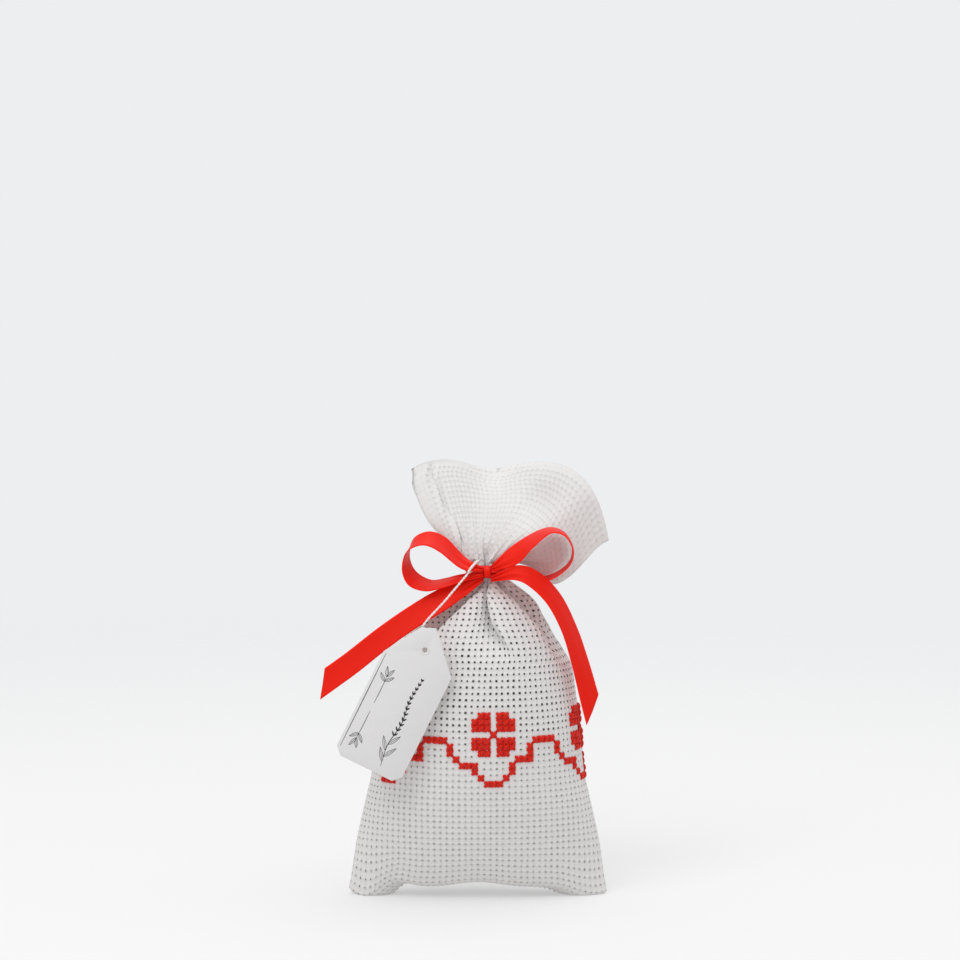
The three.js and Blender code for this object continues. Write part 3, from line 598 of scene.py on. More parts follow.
def satin_material(name, color):
    """Satin ribbon: fine threads across, a soft sheen, and a firm edge that is painted lighter as a painted
    highlight.
    """
    shader = Shader(name, Specular_IOR_Level=0.5, Specular_Tint=(1.0, 0.22, 0.16, 1.0))
    vector, (along, across, _) = shader.pattern("ribbon")
    threads = wave(along, 3.2)
    streaks = shader.node("ShaderNodeCombineXYZ", inputs={0: along * 3, 1: across * 0.35, 2: 0})
    slubs = shader.noise(streaks, 1.4)
    # Both edges of the ribbon are rougher and raised, and painted lighter as a painted highlight.
    edge = shader.ramp(across.math("ABSOLUTE"), 3.05, 3.3)
    body = shader.tint(slubs * 0.8 + threads * 0.2, shade(color, 0.86), shade(color, 1.06))
    shader.feed("Base Color", shader.tint(edge, body, shade(color, 1.16)))
    shader.feed("Roughness", 0.4 + slubs * 0.14 + edge * 0.12)
    shader.bump(threads * 0.25 + slubs * 0.3 + edge * 0.8, 0.35, 0.05 * MM)
    return shader.material


def paper_material(name, color):
    """Smooth card: faint fibres and a faint cloudiness."""
    shader = Shader(name, Roughness=0.62)
    place = shader.place()
    fibres = shader.noise(place, 900, 4)
    cloud = shader.noise(place, 60)
    shader.paint(fibres * 0.5 + cloud * 0.5, color, 0.965, 1.02)
    shader.bump(fibres, 0.12, 0.04 * MM)
    return shader.material


def ink_material(name, color):
    shader = Shader(name, Roughness=0.7)
    shader.paint(shader.noise(shader.place(), 2500), color, 0.7, 1.6)
    return shader.material


def voile_material(name, color):
    """Thin plain-weave cotton of the inner bag."""
    shader = Shader(name, Roughness=0.95, Sheen_Weight=0.2)
    vector, (around, up, _) = shader.pattern("weave")
    mesh = wave(around, 160) * wave(up, 160)
    folds = shader.noise(vector, 6, 3)
    shader.paint(mesh * 0.4 + folds * 0.6, color, 0.82, 1.04)
    shader.bump(mesh + folds, 0.4, 0.1 * MM)
    return shader.material


def bud_material(name, color):
    """Dried lavender: grey-violet buds, some browner."""
    shader = Shader(name, Roughness=0.95)
    place = shader.place()
    each = shader.noise(place, 260, 1)
    dust = shader.noise(place, 2200, 3)
    dry = (0.36, 0.29, 0.2, 1)
    shader.feed("Base Color", shader.tint(dust, shader.tint(each, rgba(color), dry), shade(color, 1.5)))
    shader.bump(dust, 0.6, 0.3 * MM)
    return shader.material


def length_property(name, description, default):
    return bpy.props.FloatProperty(name=name, description=description, default=default, unit="LENGTH")


def color_property(name, description, default):
    return bpy.props.FloatVectorProperty(
        name=name, description=description, default=default, size=3, subtype="COLOR", min=0, max=1)


class SachetSizes(bpy.types.PropertyGroup):
    """Sizes that a user would change."""
    cloth_thickness: length_property("Cloth thickness", "Wall of the pouch cloth", 0.5 * MM)
    hole_share: bpy.props.FloatProperty(
        name="Weave hole", description="Width of a weave hole as a share of a cell", default=0.3)
    pad_height: length_property("Weave relief", "How far a weave square stands up", 0.1 * MM)
    stitch_width: length_property("Stitch width", "Width of one leg of a cross-stitch", 1.12 * MM)
    stitch_height: length_property("Stitch height", "Thickness of one leg of a cross-stitch", 0.62 * MM)
    ribbon_width: length_property("Ribbon width", "Width of the satin ribbon", 7 * MM)
    ribbon_thickness: length_property("Ribbon thickness", "Thickness of the satin ribbon", 0.28 * MM)
    seam_thread: length_property("Seam thread", "Diameter of the sewing thread", 0.4 * MM)
    string_diameter: length_property("String diameter", "Diameter of the tag's string", 0.75 * MM)


class SachetColors(bpy.types.PropertyGroup):
    """Colours that a user would change."""
    cloth: color_property("Cloth", "Even-weave cotton", (0.79, 0.775, 0.765))
    embroidery: color_property("Embroidery", "Stranded cotton of the stitches", (0.64, 0.018, 0.009))
    ribbon: color_property("Ribbon", "Satin ribbon", (0.78, 0.012, 0.005))
    paper: color_property("Paper", "Tag card", (0.7, 0.69, 0.69))
    ink: color_property("Ink", "Print on the tag", (0.02, 0.02, 0.022))
    thread: color_property("Thread", "Sewing thread and string", (0.8, 0.79, 0.77))
    bag: color_property("Inner bag", "Cotton voile", (0.72, 0.7, 0.66))
    lavender: color_property("Lavender", "Dried flowers", (0.17, 0.13, 0.24))


def sizes():
    return bpy.context.scene.sachet_sizes


_shared = {}


def table():
    """The sampled cloth, made once."""
    if "table" not in _shared:
        _shared["table"] = ClothTable()
    return _shared["table"]


def look(name, make, color, *values):
    """A material in one of the user's colours, made once."""
    if name not in _shared:
        _shared[name] = make(name, tuple(getattr(bpy.context.scene.sachet_colors, color)), *values)
    return _shared[name]


def satin():
    return look("red_satin", satin_material, "ribbon")


def white_thread():
    return look("white_thread", thread_material, "thread", 3)


# The embroidery, in cells: the front clover's first column, the border's lowest row, the columns
# from one clover to the next, and how far a clover's top row lies above the border's lowest.
CLOVER_COLUMN = 44
MOTIF_ROW = 22
MOTIF_PERIOD = 18
CLOVER_TOP = 11
CLOVER_CHART = [".XX.XX.", "XXX.XXX", "XXX.XXX", "...X...", "XXX.XXX", "XXX.XXX", ".XX.XX."]
WAVE_CHART = [
    (4, (10, 11, 12, 13)), (5, (-4, 9)), (6, (-4, 9)), (7, (-3, 7, 8, 9)),
    (8, (-2, -1, 0, 6)), (9, (0, 6)), (10, (1, 5)), (11, (2, 3, 4)),
]
CLOVER_NODES = [
    f"clover_{side}" for side in ("front", "front_right", "back_right", "back_left", "front_left")]
CORNERS = ((0, 0), (0, 1), (1, 0), (1, 1))


def clover_cells(shift):
    return [
        (CLOVER_COLUMN + shift * MOTIF_PERIOD + c, MOTIF_ROW + CLOVER_TOP - r)
        for r, line in enumerate(CLOVER_CHART) for c, mark in enumerate(line) if mark == "X"
    ]


def wave_cells():
    return [
        (CLOVER_COLUMN + shift * MOTIF_PERIOD + c, MOTIF_ROW + CLOVER_TOP - r)
        for shift in range(CELLS_AROUND // MOTIF_PERIOD) for r, columns in WAVE_CHART for c in columns
    ]


def stitched_corners():
    cells = wave_cells() + [cell for shift in range(len(CLOVER_NODES)) for cell in clover_cells(shift)]
    return {((c + a) % CELLS_AROUND, r + b) for c, r in cells for a, b in CORNERS}


ROLL_DEPTH = 1.3 * MM
ROLL_RISE = 0.5 * MM
GATHER_DEPTH = 0.35 * MM
RUFFLE_SOFTNESS = 0.3 * MM
BELLY_SOFTNESS = 0.12 * MM


def creased(grid, normals, column, row):
    """Small folds that follow the weave: a rolled strip at the ruffle's left edge, fine gathers
    above the neck and a soft unevenness everywhere."""
    up = np.clip((row - CELLS_TO_NECK) / CELLS_ABOVE_NECK, 0, 1)
    groove = CELLS_AROUND / 4 + 4.6 + 2.5 * (1 - up)
    edge = smooth(0.1, 0.3, up)
    depth = ROLL_DEPTH * bell(column, groove + 0.15, 0.5) * edge
    depth -= ROLL_RISE * bell(column, groove - 1.5, 1.2) * edge
    lapped = ROLL_DEPTH * bell(column, groove - 0.55, 0.6) * edge
    gathers = np.sin(column * 1.9 + 1.3 * np.sin(row * 0.31))
    depth += GATHER_DEPTH * gathers * smooth(0, 0.1, up) * (1 - smooth(0.2, 0.6, up))
    soft = np.sin(column * 0.41 + row * 0.13) * np.sin(row * 0.29 - column * 0.07)
    depth += RUFFLE_SOFTNESS * soft * smooth(0.1, 0.4, up)
    soft = np.sin(column * 0.35 + 1.1) * np.sin(row * 0.22 + column * 0.05)
    depth += BELLY_SOFTNESS * soft * (1 - up)
    across = unit(np.gradient(grid, axis=1))
    return grid - normals * depth[..., None] + across * lapped[..., None]


# Columns on the ruffle's two folded edges, which have no holes.
FOLDED_COLUMNS = (21, 22, 23, 24, 25, 67, 68)


class SACHET_OT_cloth(bpy.types.Operator):
    """Weave and gather the pouch cloth, with a hole at each corner of its cells"""
    bl_idname = "sachet.cloth"
    bl_label = "Pouch cloth"

    def hole(self, row):
        """Half the width of a weave hole: widest in the stretched cloth over the filling."""
        stretched = smooth(FILLED_ROW, FILLED_ROW + 9, row)
        stretched = stretched * (1 - smooth(CELLS_TO_NECK - 6, CELLS_TO_NECK, row))
        loose = smooth(CELLS_TO_NECK, CELLS_TO_NECK + 4, row)
        low = 1 - smooth(0, 8, row)
        return sizes().hole_share / 2 * (0.7 + 0.4 * stretched - 0.42 * loose - 0.3 * low)

    def uneven(self, outer):
        """Gives each hole a size and a place of its own, as in hand-stretched cloth."""
        rng = np.random.default_rng(7)
        corners = [outer[a::2, b::2][:CELLS_HIGH, :CELLS_AROUND] for a, b in CORNERS]
        middle = sum(corners) / 4
        size = rng.uniform(0.76, 1.16, middle.shape[:2])[..., None]
        aside = (corners[1] + corners[3] - corners[0] - corners[2]) / 2
        shift = aside * rng.normal(0, 0.1, middle.shape[:2])[..., None]
        edge = np.ones(middle.shape[:2] + (1,))
        edge[:1] = edge[:, :1] = 0
        changed = outer.copy()
        for (a, b), corner in zip(CORNERS, corners):
            moved = middle + (corner - middle) * size + shift
            changed[a::2, b::2][:CELLS_HIGH, :CELLS_AROUND] = mix(corner, moved, edge)
        return changed

    def lines(self, count, half):
        """Where the grid lines run: beside each hole, and on both edges of the cloth."""
        cells = np.arange(count)
        inner = np.stack([cells + half[..., :-1], cells + 1 - half[..., 1:]], -1)
        inner = inner.reshape(*half.shape[:-1], -1)
        ends = np.zeros(half.shape[:-1] + (1,))
        return np.concatenate([ends, inner, ends + count], -1)

    def faces(self, high, wide):
        """Holes through both layers, raised weave squares, and the strips between them."""
        closed = stitched_corners()
        closed |= {(column, row) for column in FOLDED_COLUMNS for row in range(CELLS_TO_NECK, CELLS_HIGH)}

        def spot(j, i, layer=0):
            return (layer * high + j) * wide + i

        def centre(j, i, layer):
            return 2 * high * wide + (layer * CELLS_HIGH + j // 2) * CELLS_AROUND + i // 2

        faces = []
        for j in range(high - 1):
            for i in range(wide - 1):
                ring = [(j, i), (j, i + 1), (j + 1, i + 1), (j + 1, i)]
                sides = list(zip(ring, ring[1:] + ring[:1]))
                at_corner = j % 2 == 0 and i % 2 == 0 and 0 < i < wide - 2 and 0 < j < high - 2
                if at_corner and (i // 2 % CELLS_AROUND, j // 2) not in closed:
                    faces += [(spot(*a), spot(*a, 1), spot(*b, 1), spot(*b)) for a, b in sides]
                elif j % 2 and i % 2:
                    faces += [(spot(*a), spot(*b), centre(j, i, 0)) for a, b in sides]
                    faces += [(spot(*b, 1), spot(*a, 1), centre(j, i, 1)) for a, b in sides]
                else:
                    faces.append(tuple(spot(*a) for a in ring))
                    faces.append(tuple(spot(*a, 1) for a in reversed(ring)))
        half, full = CELLS_AROUND // 2, CELLS_AROUND
        for first, last, mirror in ((half + 1, full, full + 1), (full + 1, full + half, 3 * full + 1)):
            faces += [(i + 1, i, mirror - i, mirror - i - 1) for i in range(first, last)]
        faces.append((full + 1, full, 1, 2 * full))
        up, along = range(high - 1), range(wide - 1)
        border = [(0, wide - 1 - i) for i in along] + [(j, 0) for j in up]
        border += [(high - 1, i) for i in along] + [(high - 1 - j, wide - 1) for j in up]
        for a, b in zip(border, border[1:] + border[:1]):
            faces.append((spot(*a), spot(*b), spot(*b, 1), spot(*a, 1)))
        return faces

    def execute(self, context):
        rows = self.lines(CELLS_HIGH, self.hole(np.arange(CELLS_HIGH + 1)))
        columns = self.lines(CELLS_AROUND, np.repeat(self.hole(rows)[:, None], CELLS_AROUND + 1, axis=1))
        grid = cloth_rows(rows, columns)
        row_grid = np.broadcast_to(rows[:, None], columns.shape)
        outer = self.uneven(creased(grid, grid_normals(grid), columns, row_grid))
        inner = outer - grid_normals(outer) * sizes().cloth_thickness
        pads = np.meshgrid(np.arange(CELLS_AROUND) + 0.5, np.arange(CELLS_HIGH) + 0.5)
        pad_normals = grid_normals(cloth_rows(pads[1][:, 0], pads[0][0]))
        between = outer[1:-1, 1:-1]
        pad_outer = sum(between[a::2, b::2] for a, b in CORNERS) / 4
        raised = pad_outer + pad_normals * sizes().pad_height
        sunk = pad_outer - pad_normals * (sizes().cloth_thickness + sizes().pad_height)
        places = np.concatenate([layer.reshape(-1, 3) for layer in (outer, inner, raised, sunk)])
        places[:, 2] = np.maximum(places[:, 2], 0)
        cloth = new_piece("woven_pouch", places, self.faces(*columns.shape))
        weave = [np.stack([a, b, np.full_like(a, side)], -1).reshape(-1, 3)
                 for a, b in ((columns, row_grid), pads) for side in (0, 1)]
        keep_pattern(cloth, "weave", np.concatenate(weave))
        cotton = look("even_weave_cotton", cloth_material, "cloth")
        dress(cloth, cotton, "pouch", "pouch_cloth", "pouch_cloth")
        return {"FINISHED"}


LEG_STATIONS = 7
LEG_SIDES = 8
LEG_UNEVEN = 0.03
LEG_SUNK = 0.2 * MM


def stitch_leg(column, row, upper, rng):
    """One leg of a cross-stitch: places, faces and pattern coordinates."""
    shift = rng.normal(0, LEG_UNEVEN, 2)
    width = sizes().stitch_width / 2 * rng.uniform(0.92, 1.08)
    height = sizes().stitch_height / 2 * rng.uniform(0.94, 1.06)
    along = np.linspace(0, 1, LEG_STATIONS)
    arch = np.sin(math.pi * along)
    reach = mix(-0.03, 1.03, along)
    middle, normal = table().at(
        column + reach + shift[0] * arch, row + (reach if upper else 1 - reach) + shift[1] * arch)
    aside = unit(np.cross(normal, unit(np.gradient(middle, axis=0))))
    lift = mix(-LEG_SUNK, height * (0.85 + 0.85 * upper), arch ** 0.5)[:, None]
    swell = mix(0.6, 1, arch ** 0.5)[:, None]
    angle = np.arange(LEG_SIDES) / LEG_SIDES * 2 * math.pi
    up = lift + np.sin(angle) * height * swell
    out = np.copysign(np.abs(np.cos(angle)) ** 0.8, np.cos(angle)) * width * swell
    places = middle[:, None] + normal[:, None] * up[..., None] + aside[:, None] * out[..., None]
    pattern = [(share * 2.4 + 7 * column, side / LEG_SIDES, row + 0.5 * upper)
               for share in along for side in range(LEG_SIDES)]
    return list(places.reshape(-1, 3)), tube_faces(LEG_STATIONS, LEG_SIDES), pattern


class SACHET_OT_embroidery(bpy.types.Operator):
    """Cross-stitch the clovers and the wavy border"""
    bl_idname = "sachet.embroidery"
    bl_label = "Embroidery"

    def execute(self, context):
        floss = look("red_floss", thread_material, "embroidery", 4)
        motifs = [(node, clover_cells(shift)) for shift, node in enumerate(CLOVER_NODES)]
        for seed, (node, cells) in enumerate(motifs + [("wave_border", wave_cells())]):
            rng = np.random.default_rng(seed)
            legs = joined(stitch_leg(*cell, upper, rng) for cell in cells for upper in (0, 1))
            thread_piece(f"{node}_stitches", legs, floss, "pouch", "embroidery", node)
        return {"FINISHED"}


PLY_SHARE = 0.56


def tube(path, radius, sides, turns_per_metre=0, plies=1, closed=False):
    """A thread along a path, twisted from plies: places, faces and pattern coordinates."""
    path = np.asarray(path, float)
    if closed:
        way = unit(np.roll(path, -1, axis=0) - np.roll(path, 1, axis=0))
    else:
        way = unit(np.gradient(path, axis=0))
    aside = [unit(np.cross(way[0], (0.31, 0.2, 0.93)))]
    for direction in way[1:]:
        aside.append(unit(aside[-1] - direction * np.dot(aside[-1], direction)))
    aside = np.array(aside)
    other = np.cross(way, aside)
    along = length_along(path)
    ply_radius = radius if plies == 1 else radius * PLY_SHARE
    angle = (np.arange(sides) / sides * 2 * math.pi)[:, None]
    ring = aside[:, None] * np.cos(angle) + other[:, None] * np.sin(angle)
    parts = []
    for ply in range(plies):
        turn = ((along * turns_per_metre + ply / plies) * 2 * math.pi)[:, None]
        centre = path + (radius - ply_radius) * (aside * np.cos(turn) + other * np.sin(turn))
        places = (centre[:, None] + ply_radius * ring).reshape(-1, 3)
        pattern = [(far / MM, side / sides, ply) for far in along for side in range(sides)]
        parts.append((list(places), tube_faces(len(path), sides, closed), pattern))
    return joined(parts)


STITCH_STATIONS = 7
STITCH_SIDES = 6
STITCH_SPAN = 0.7
STITCH_SLANT = 0.3
STITCH_SUNK = 0.3 * MM
BASE_STITCH_RISE = 0.2 * MM
BASE_STITCH_UNDER = 0.66 * MM


def seam_stitch(row):
    """A short slanted stitch over the back seam, which runs along the first column."""
    share = np.linspace(-1, 1, STITCH_STATIONS)
    middle, normal = table().at(np.mod(share * STITCH_SPAN, CELLS_AROUND), row + share * STITCH_SLANT)
    rise = mix(-STITCH_SUNK, sizes().seam_thread * 0.8, np.cos(share * math.pi / 2) ** 0.6)
    return tube(middle + normal * rise[:, None], sizes().seam_thread / 2, STITCH_SIDES)


def base_stitch(column):
    """A stitch under the bottom seam, from the front to the back."""
    columns = np.array([column + 0.5, CELLS_AROUND / 2 - column + 0.1])
    ends, _ = table().at(columns, np.array([0.6, 0.6]))
    under = ends.mean(axis=0) - (0, 0, BASE_STITCH_UNDER)
    ends[:, 2] += BASE_STITCH_RISE
    route = spline([ends[0], under, ends[1]], np.linspace(0, 1, STITCH_STATIONS))
    route[:, 2] = np.maximum(route[:, 2], sizes().seam_thread / 2)
    return tube(route, sizes().seam_thread * 0.36, STITCH_SIDES)


class SACHET_OT_seams(bpy.types.Operator):
    """Sew the back seam and the bottom seam"""
    bl_idname = "sachet.seams"
    bl_label = "Seam threads"

    def execute(self, context):
        quarter = CELLS_AROUND / 4
        lower = range(1, MOTIF_ROW + 4)
        upper = range(MOTIF_ROW + 8, CELLS_TO_NECK - 2)
        base = range(math.ceil(quarter) + 2, math.floor(3 * quarter) - 1)
        for name, node, stitches in (
                ("back_seam_lower", "back_seam_thread_lower", [seam_stitch(row + 0.5) for row in lower]),
                ("back_seam_upper", "back_seam_thread_upper", [seam_stitch(row + 0.5) for row in upper]),
                ("bottom_seam", "bottom_seam_thread", [base_stitch(column) for column in base])):
            thread_piece(name, joined(stitches), white_thread(), "pouch", "thread", node)
        return {"FINISHED"}


BAG_FILL = 58 * MM
BAG_INSET = 1.35 * MM
BAG_LOW = 5.4 * MM
BAG_COLUMNS = 96
BAG_ROWS = 30
BAG_WALL = 0.25 * MM
BAG_HALF_GAP = 0.1 * MM
DOME_ROWS = 14
BAG_MOUTH_RADIUS = 3 * MM
BAG_MOUTH_HEIGHT = 5 * MM
MOUTH_ROWS = 6
BAG_GATHERS = 16
FILLING_INSET = BAG_INSET + 1.9 * MM
BUD_RINGS = [(-1.0, 0.25), (-0.5, 0.8), (0.2, 1.0), (0.75, 0.7), (1.0, 0.3)]
BUD_SIDES = 5
BUD_TRIES = 1500
BUD_SCATTER = 0.25 * MM
BUD_CLEAR = 4 * MM


def bag_rings(inset, top_radius):
    """Rings of the inner bag, from the bottom seam over the filled dome to the tied mouth."""
    rows = np.linspace(0.03, 1, BAG_ROWS) * BAG_FILL / CELL
    columns = np.arange(BAG_COLUMNS) / BAG_COLUMNS * CELLS_AROUND
    grid = cloth_rows(rows, columns)
    closed = np.concatenate([grid[:, -1:], grid, grid[:, :1]], axis=1)
    inner = grid - grid_normals(closed)[:, 1:-1] * inset
    front = np.sin((1 + columns / CELLS_AROUND * 4) * math.pi / 2) < 0
    forward = np.minimum(inner[..., 1], PLACE.y - BAG_HALF_GAP)
    inner[..., 1] = np.where(front, forward, np.maximum(inner[..., 1], PLACE.y + BAG_HALF_GAP))
    half_width = np.abs(grid[..., 0] - PLACE.x).max(axis=1, keepdims=True) - inset
    inner[..., 0] = PLACE.x + np.clip(inner[..., 0] - PLACE.x, -half_width, half_width)
    inner[..., 2] = np.maximum(inner[..., 2], BAG_LOW + inset - BAG_INSET)
    rings = list(inner)
    last = rings[-1]
    centre = last.mean(axis=0)
    out = last - centre
    radius = np.linalg.norm(out[:, :2], axis=1, keepdims=True)
    for angle in np.arange(1, DOME_ROWS + 1) / DOME_ROWS * math.pi / 2:
        ring = centre + out * mix(top_radius / radius, 1, math.cos(angle))
        ring[:, 2] = mix(centre[2], last[:, 2], math.cos(angle)) + (FRONT_DEPTH / 2 - inset) * math.sin(angle)
        rings.append(ring)
    return np.array(rings), centre


def bag_faces(high):
    """Quads round the bag, and a few along its bottom seam."""
    faces = grid_faces(high, BAG_COLUMNS, around=True)
    for i in range(BAG_COLUMNS // 4, BAG_COLUMNS // 2 - 1):
        faces.append(((BAG_COLUMNS - i) % BAG_COLUMNS, BAG_COLUMNS - i - 1, i + 1, i))
    return faces


class SACHET_OT_inner_bag(bpy.types.Operator):
    """Fill and tie the inner bag, and heap the lavender in it"""
    bl_idname = "sachet.inner_bag"
    bl_label = "Inner bag and filling"

    def execute(self, context):
        rings, centre = bag_rings(BAG_INSET, BAG_MOUTH_RADIUS * 0.75)
        mouth = np.repeat(rings[-1:], MOUTH_ROWS, axis=0)
        for k, ring in enumerate(mouth):
            spread = mix(1, 1.9, smooth(0.4, 1, k / (MOUTH_ROWS - 1)))
            ring[:, :2] = mix(centre[:2], ring[:, :2], spread)
            ring[:, 2] += BAG_MOUTH_HEIGHT * (k + 1) / MOUTH_ROWS
        rings = np.concatenate([rings, mouth])
        high = len(rings)
        column, row = np.meshgrid(np.arange(BAG_COLUMNS) / BAG_COLUMNS, np.arange(high) / high)
        gather = smooth(BAG_ROWS - 2, BAG_ROWS + DOME_ROWS, np.arange(high))[:, None]
        flute = 1 + 0.14 * gather * np.sin(column * 2 * math.pi * BAG_GATHERS)
        rings[..., :2] = mix(centre[:2], rings[..., :2], flute[..., None])
        bag = new_piece("voile_bag", rings.reshape(-1, 3), bag_faces(high))
        keep_pattern(bag, "weave", np.stack([column, row, np.zeros_like(row)], -1))
        thicken(bag, BAG_WALL, -1)
        dress(bag, look("cotton_voile", voile_material, "bag"), "pouch", "inner_bag", "inner_bag")
        self.tie(centre, rings[BAG_ROWS + DOME_ROWS + 2])
        self.lavender()
        return {"FINISHED"}

    def tie(self, centre, ring):
        """A thread wound twice round the bag's mouth."""
        thread = sizes().seam_thread
        radius = np.linalg.norm(ring[:, :2] - centre[:2], axis=1).max() + thread / 2
        angle = np.linspace(0, 4 * math.pi, 97)
        route = np.stack([centre[0] + radius * np.cos(angle), centre[1] + radius * np.sin(angle),
                          ring[:, 2].mean() + thread * angle / (2 * math.pi)], -1)
        parts = tube(route, thread / 2, 8)
        thread_piece("bag_tie", parts, white_thread(), "pouch", "thread", "inner_bag_tie")

    def lavender(self):
        """A heap of dried buds: a lumpy core with buds lying all over it."""
        rings, centre = bag_rings(FILLING_INSET, BAG_MOUTH_RADIUS)
        high = len(rings)
        top = tuple(range((high - 1) * BAG_COLUMNS, high * BAG_COLUMNS))
        parts = [(list(rings.reshape(-1, 3)), bag_faces(high) + [top], [])]
        rng = np.random.default_rng(11)
        for _ in range(BUD_TRIES):
            j, i = rng.integers(2, high - 2), rng.integers(0, BAG_COLUMNS)
            at = rings[j, i] + rng.normal(0, BUD_SCATTER, 3)
            if abs(at[1] - centre[1]) < BUD_CLEAR and j < BAG_ROWS:
                continue
            inward = unit(centre - at)
            way = unit(np.cross(inward, rng.normal(0, 1, 3)))
            side = np.cross(way, inward)
            length, width = rng.uniform(1.8, 2.8) * MM, rng.uniform(0.6, 0.85) * MM
            places = []
            for share, size in BUD_RINGS:
                for angle in np.arange(BUD_SIDES) / BUD_SIDES * 2 * math.pi:
                    out = side * math.cos(angle) + inward * math.sin(angle)
                    places.append(at + way * share * length + width * size * out)
            parts.append((places, tube_faces(len(BUD_RINGS), BUD_SIDES), []))
        places, faces, _ = joined(parts)
        heap = new_piece("dried_lavender", places, faces)
        outward(heap)
        dress(heap, look("dried_buds", bud_material, "lavender"), "pouch", "lavender", "lavender_filling")


# The bow. Each row gives a place from the knot, in shares of the reach and, front to back, of the
# ribbon's width; then the direction across the ribbon, in shares of its width.
LOOP_REACH = 24.5 * MM
RIGHT_LOOP_REACH = 26.5 * MM
LEFT_TAIL_REACH = 49 * MM
RIGHT_TAIL_REACH = 40 * MM
LEFT_TAIL_CUT = 6 * MM
RIGHT_TAIL_CUT = 7.6 * MM
LONG_EDGE_SHARE = 0.75
LEFT_LOOP_SHARES = [
    (-0.045, -0.1, 0.045, 0, 0.03, 0.17), (-0.28, -0.02, 0.12, 0.12, 0.55, 0.45),
    (-0.52, -0.04, 0.33, 0.28, 0.78, 0.5), (-0.7, -0.1, 0.41, 0.28, 0.79, 0.5),
    (-0.86, -0.08, 0.37, 0.28, 0.79, 0.5), (-0.94, -0.06, 0.27, 0.28, 0.79, 0.5),
    (-0.96, -0.06, 0.09, 0.28, 0.79, 0.5), (-0.88, -0.08, -0.07, 0.28, 0.79, 0.5),
    (-0.7, -0.05, -0.15, 0.24, 0.85, 0.38), (-0.52, 0, -0.125, 0.2, 0.85, 0.34),
    (-0.34, 0.04, -0.08, 0.1, 0.5, 0.3), (-0.045, 0, -0.02, 0, 0.03, 0.17),
]
RIGHT_LOOP_SHARES = [
    (0.042, -0.1, 0.045, 0, 0.03, 0.17), (0.27, -0.2, 0.175, -0.32, 0.45, 0.6),
    (0.44, -0.2, 0.32, -0.24, 0.82, 0.44), (0.6, -0.15, 0.43, -0.1, 0.93, 0.28),
    (0.72, -0.12, 0.47, 0, 0.98, 0.15), (0.85, -0.12, 0.42, 0, 0.99, 0.08),
    (0.93, -0.08, 0.27, 0, 0.99, 0.06), (0.91, 0, 0.12, 0, 0.99, 0.06),
    (0.79, 0.1, 0, 0, 0.98, 0.08), (0.62, 0.2, -0.07, 0, 0.9, 0.14),
    (0.38, 0.22, -0.05, 0, 0.45, 0.25), (0.042, 0.1, -0.01, 0, 0.03, 0.17),
]
LEFT_TAIL_SHARES = [
    (-0.024, 0.02, -0.036, 0.0, 0, 0.17), (-0.14, 0.0, -0.087, -0.24, 0.3, 0.6),
    (-0.28, -0.25, -0.162, -0.42, 0.4, 0.76), (-0.45, -0.36, -0.265, -0.48, 0.42, 0.74),
    (-0.62, -0.37, -0.385, -0.5, 0.4, 0.74), (-0.8, -0.32, -0.528, -0.52, 0.36, 0.75),
    (-0.95, -0.28, -0.637, -0.52, 0.3, 0.77),
]
RIGHT_TAIL_SHARES = [
    (0.03, -0.16, -0.045, 0.0, 0, 0.17), (0.21, -0.5, 0.006, 0.06, 0.3, 0.58),
    (0.345, -0.6, -0.045, 0.3, 0.5, 0.62), (0.485, -0.55, -0.19, 0.5, 0.68, 0.42),
    (0.595, -0.4, -0.41, 0.58, 0.7, 0.25), (0.675, -0.25, -0.66, 0.68, 0.6, 0.2),
    (0.752, -0.14, -0.95, 0.78, 0.42, 0.18),
]
RIBBON_ACROSS = 14
RIBBON_CROWN = 0.25 * MM
RIBBON_CREASE = 0.6 * MM
BAND_AROUND = 96
BAND_ACROSS = 12
BAND_CREASE = 0.32 * MM
BAND_INSET = 0.35 * MM
BAND_WAVE = 0.25 * MM


def ribbon_line(rows, reach, where):
    """A ribbon's middle and the direction across it, at shares of its way."""
    width = sizes().ribbon_width
    line = spline(np.array(rows) * (reach, width, reach, width, width, width), where)
    line[:, :3] += KNOT
    return line


def ribbon_piece(name, rows, reach, cut, steps):
    """A satin ribbon through the given rows, gathered at its knotted ends."""
    line = ribbon_line(rows, reach, np.linspace(0, 1, 400))
    along = length_along(line[:, :3])
    length, further = along[-1], max(cut, MM)
    end = line[-1].copy()
    end[:3] += unit(line[-1, :3] - line[-2, :3]) * further
    line, along = np.vstack([line, end]), np.append(along, length + further)
    share = np.linspace(0, 1, steps + 1)[:, None]
    across = np.linspace(-0.5, 0.5, RIBBON_ACROSS + 1)[None, :]
    where = share * (length + cut * (LONG_EDGE_SHARE - 0.5 - across))
    samples = np.stack([np.interp(where, along, values) for values in line.T], -1)
    middle, wide = samples[..., :3], samples[..., 3:]
    face = unit(np.cross(np.gradient(middle, axis=0), wide))
    slack = np.maximum(1 - np.linalg.norm(wide, axis=-1) / sizes().ribbon_width, 0)
    crease = RIBBON_CREASE * slack ** 1.2 * np.cos(across * 4 * math.pi + 0.6)
    camber = RIBBON_CROWN * (1 - (2 * across) ** 2) + crease
    grid = middle + wide * across[..., None] + face * camber[..., None]
    piece = new_piece(name, grid.reshape(-1, 3), grid_faces(*where.shape))
    keep_pattern(piece, "ribbon", np.stack([where / MM, across * 7 + where * 0, where * 0], -1))
    thicken(piece, sizes().ribbon_thickness, 0)
    return piece


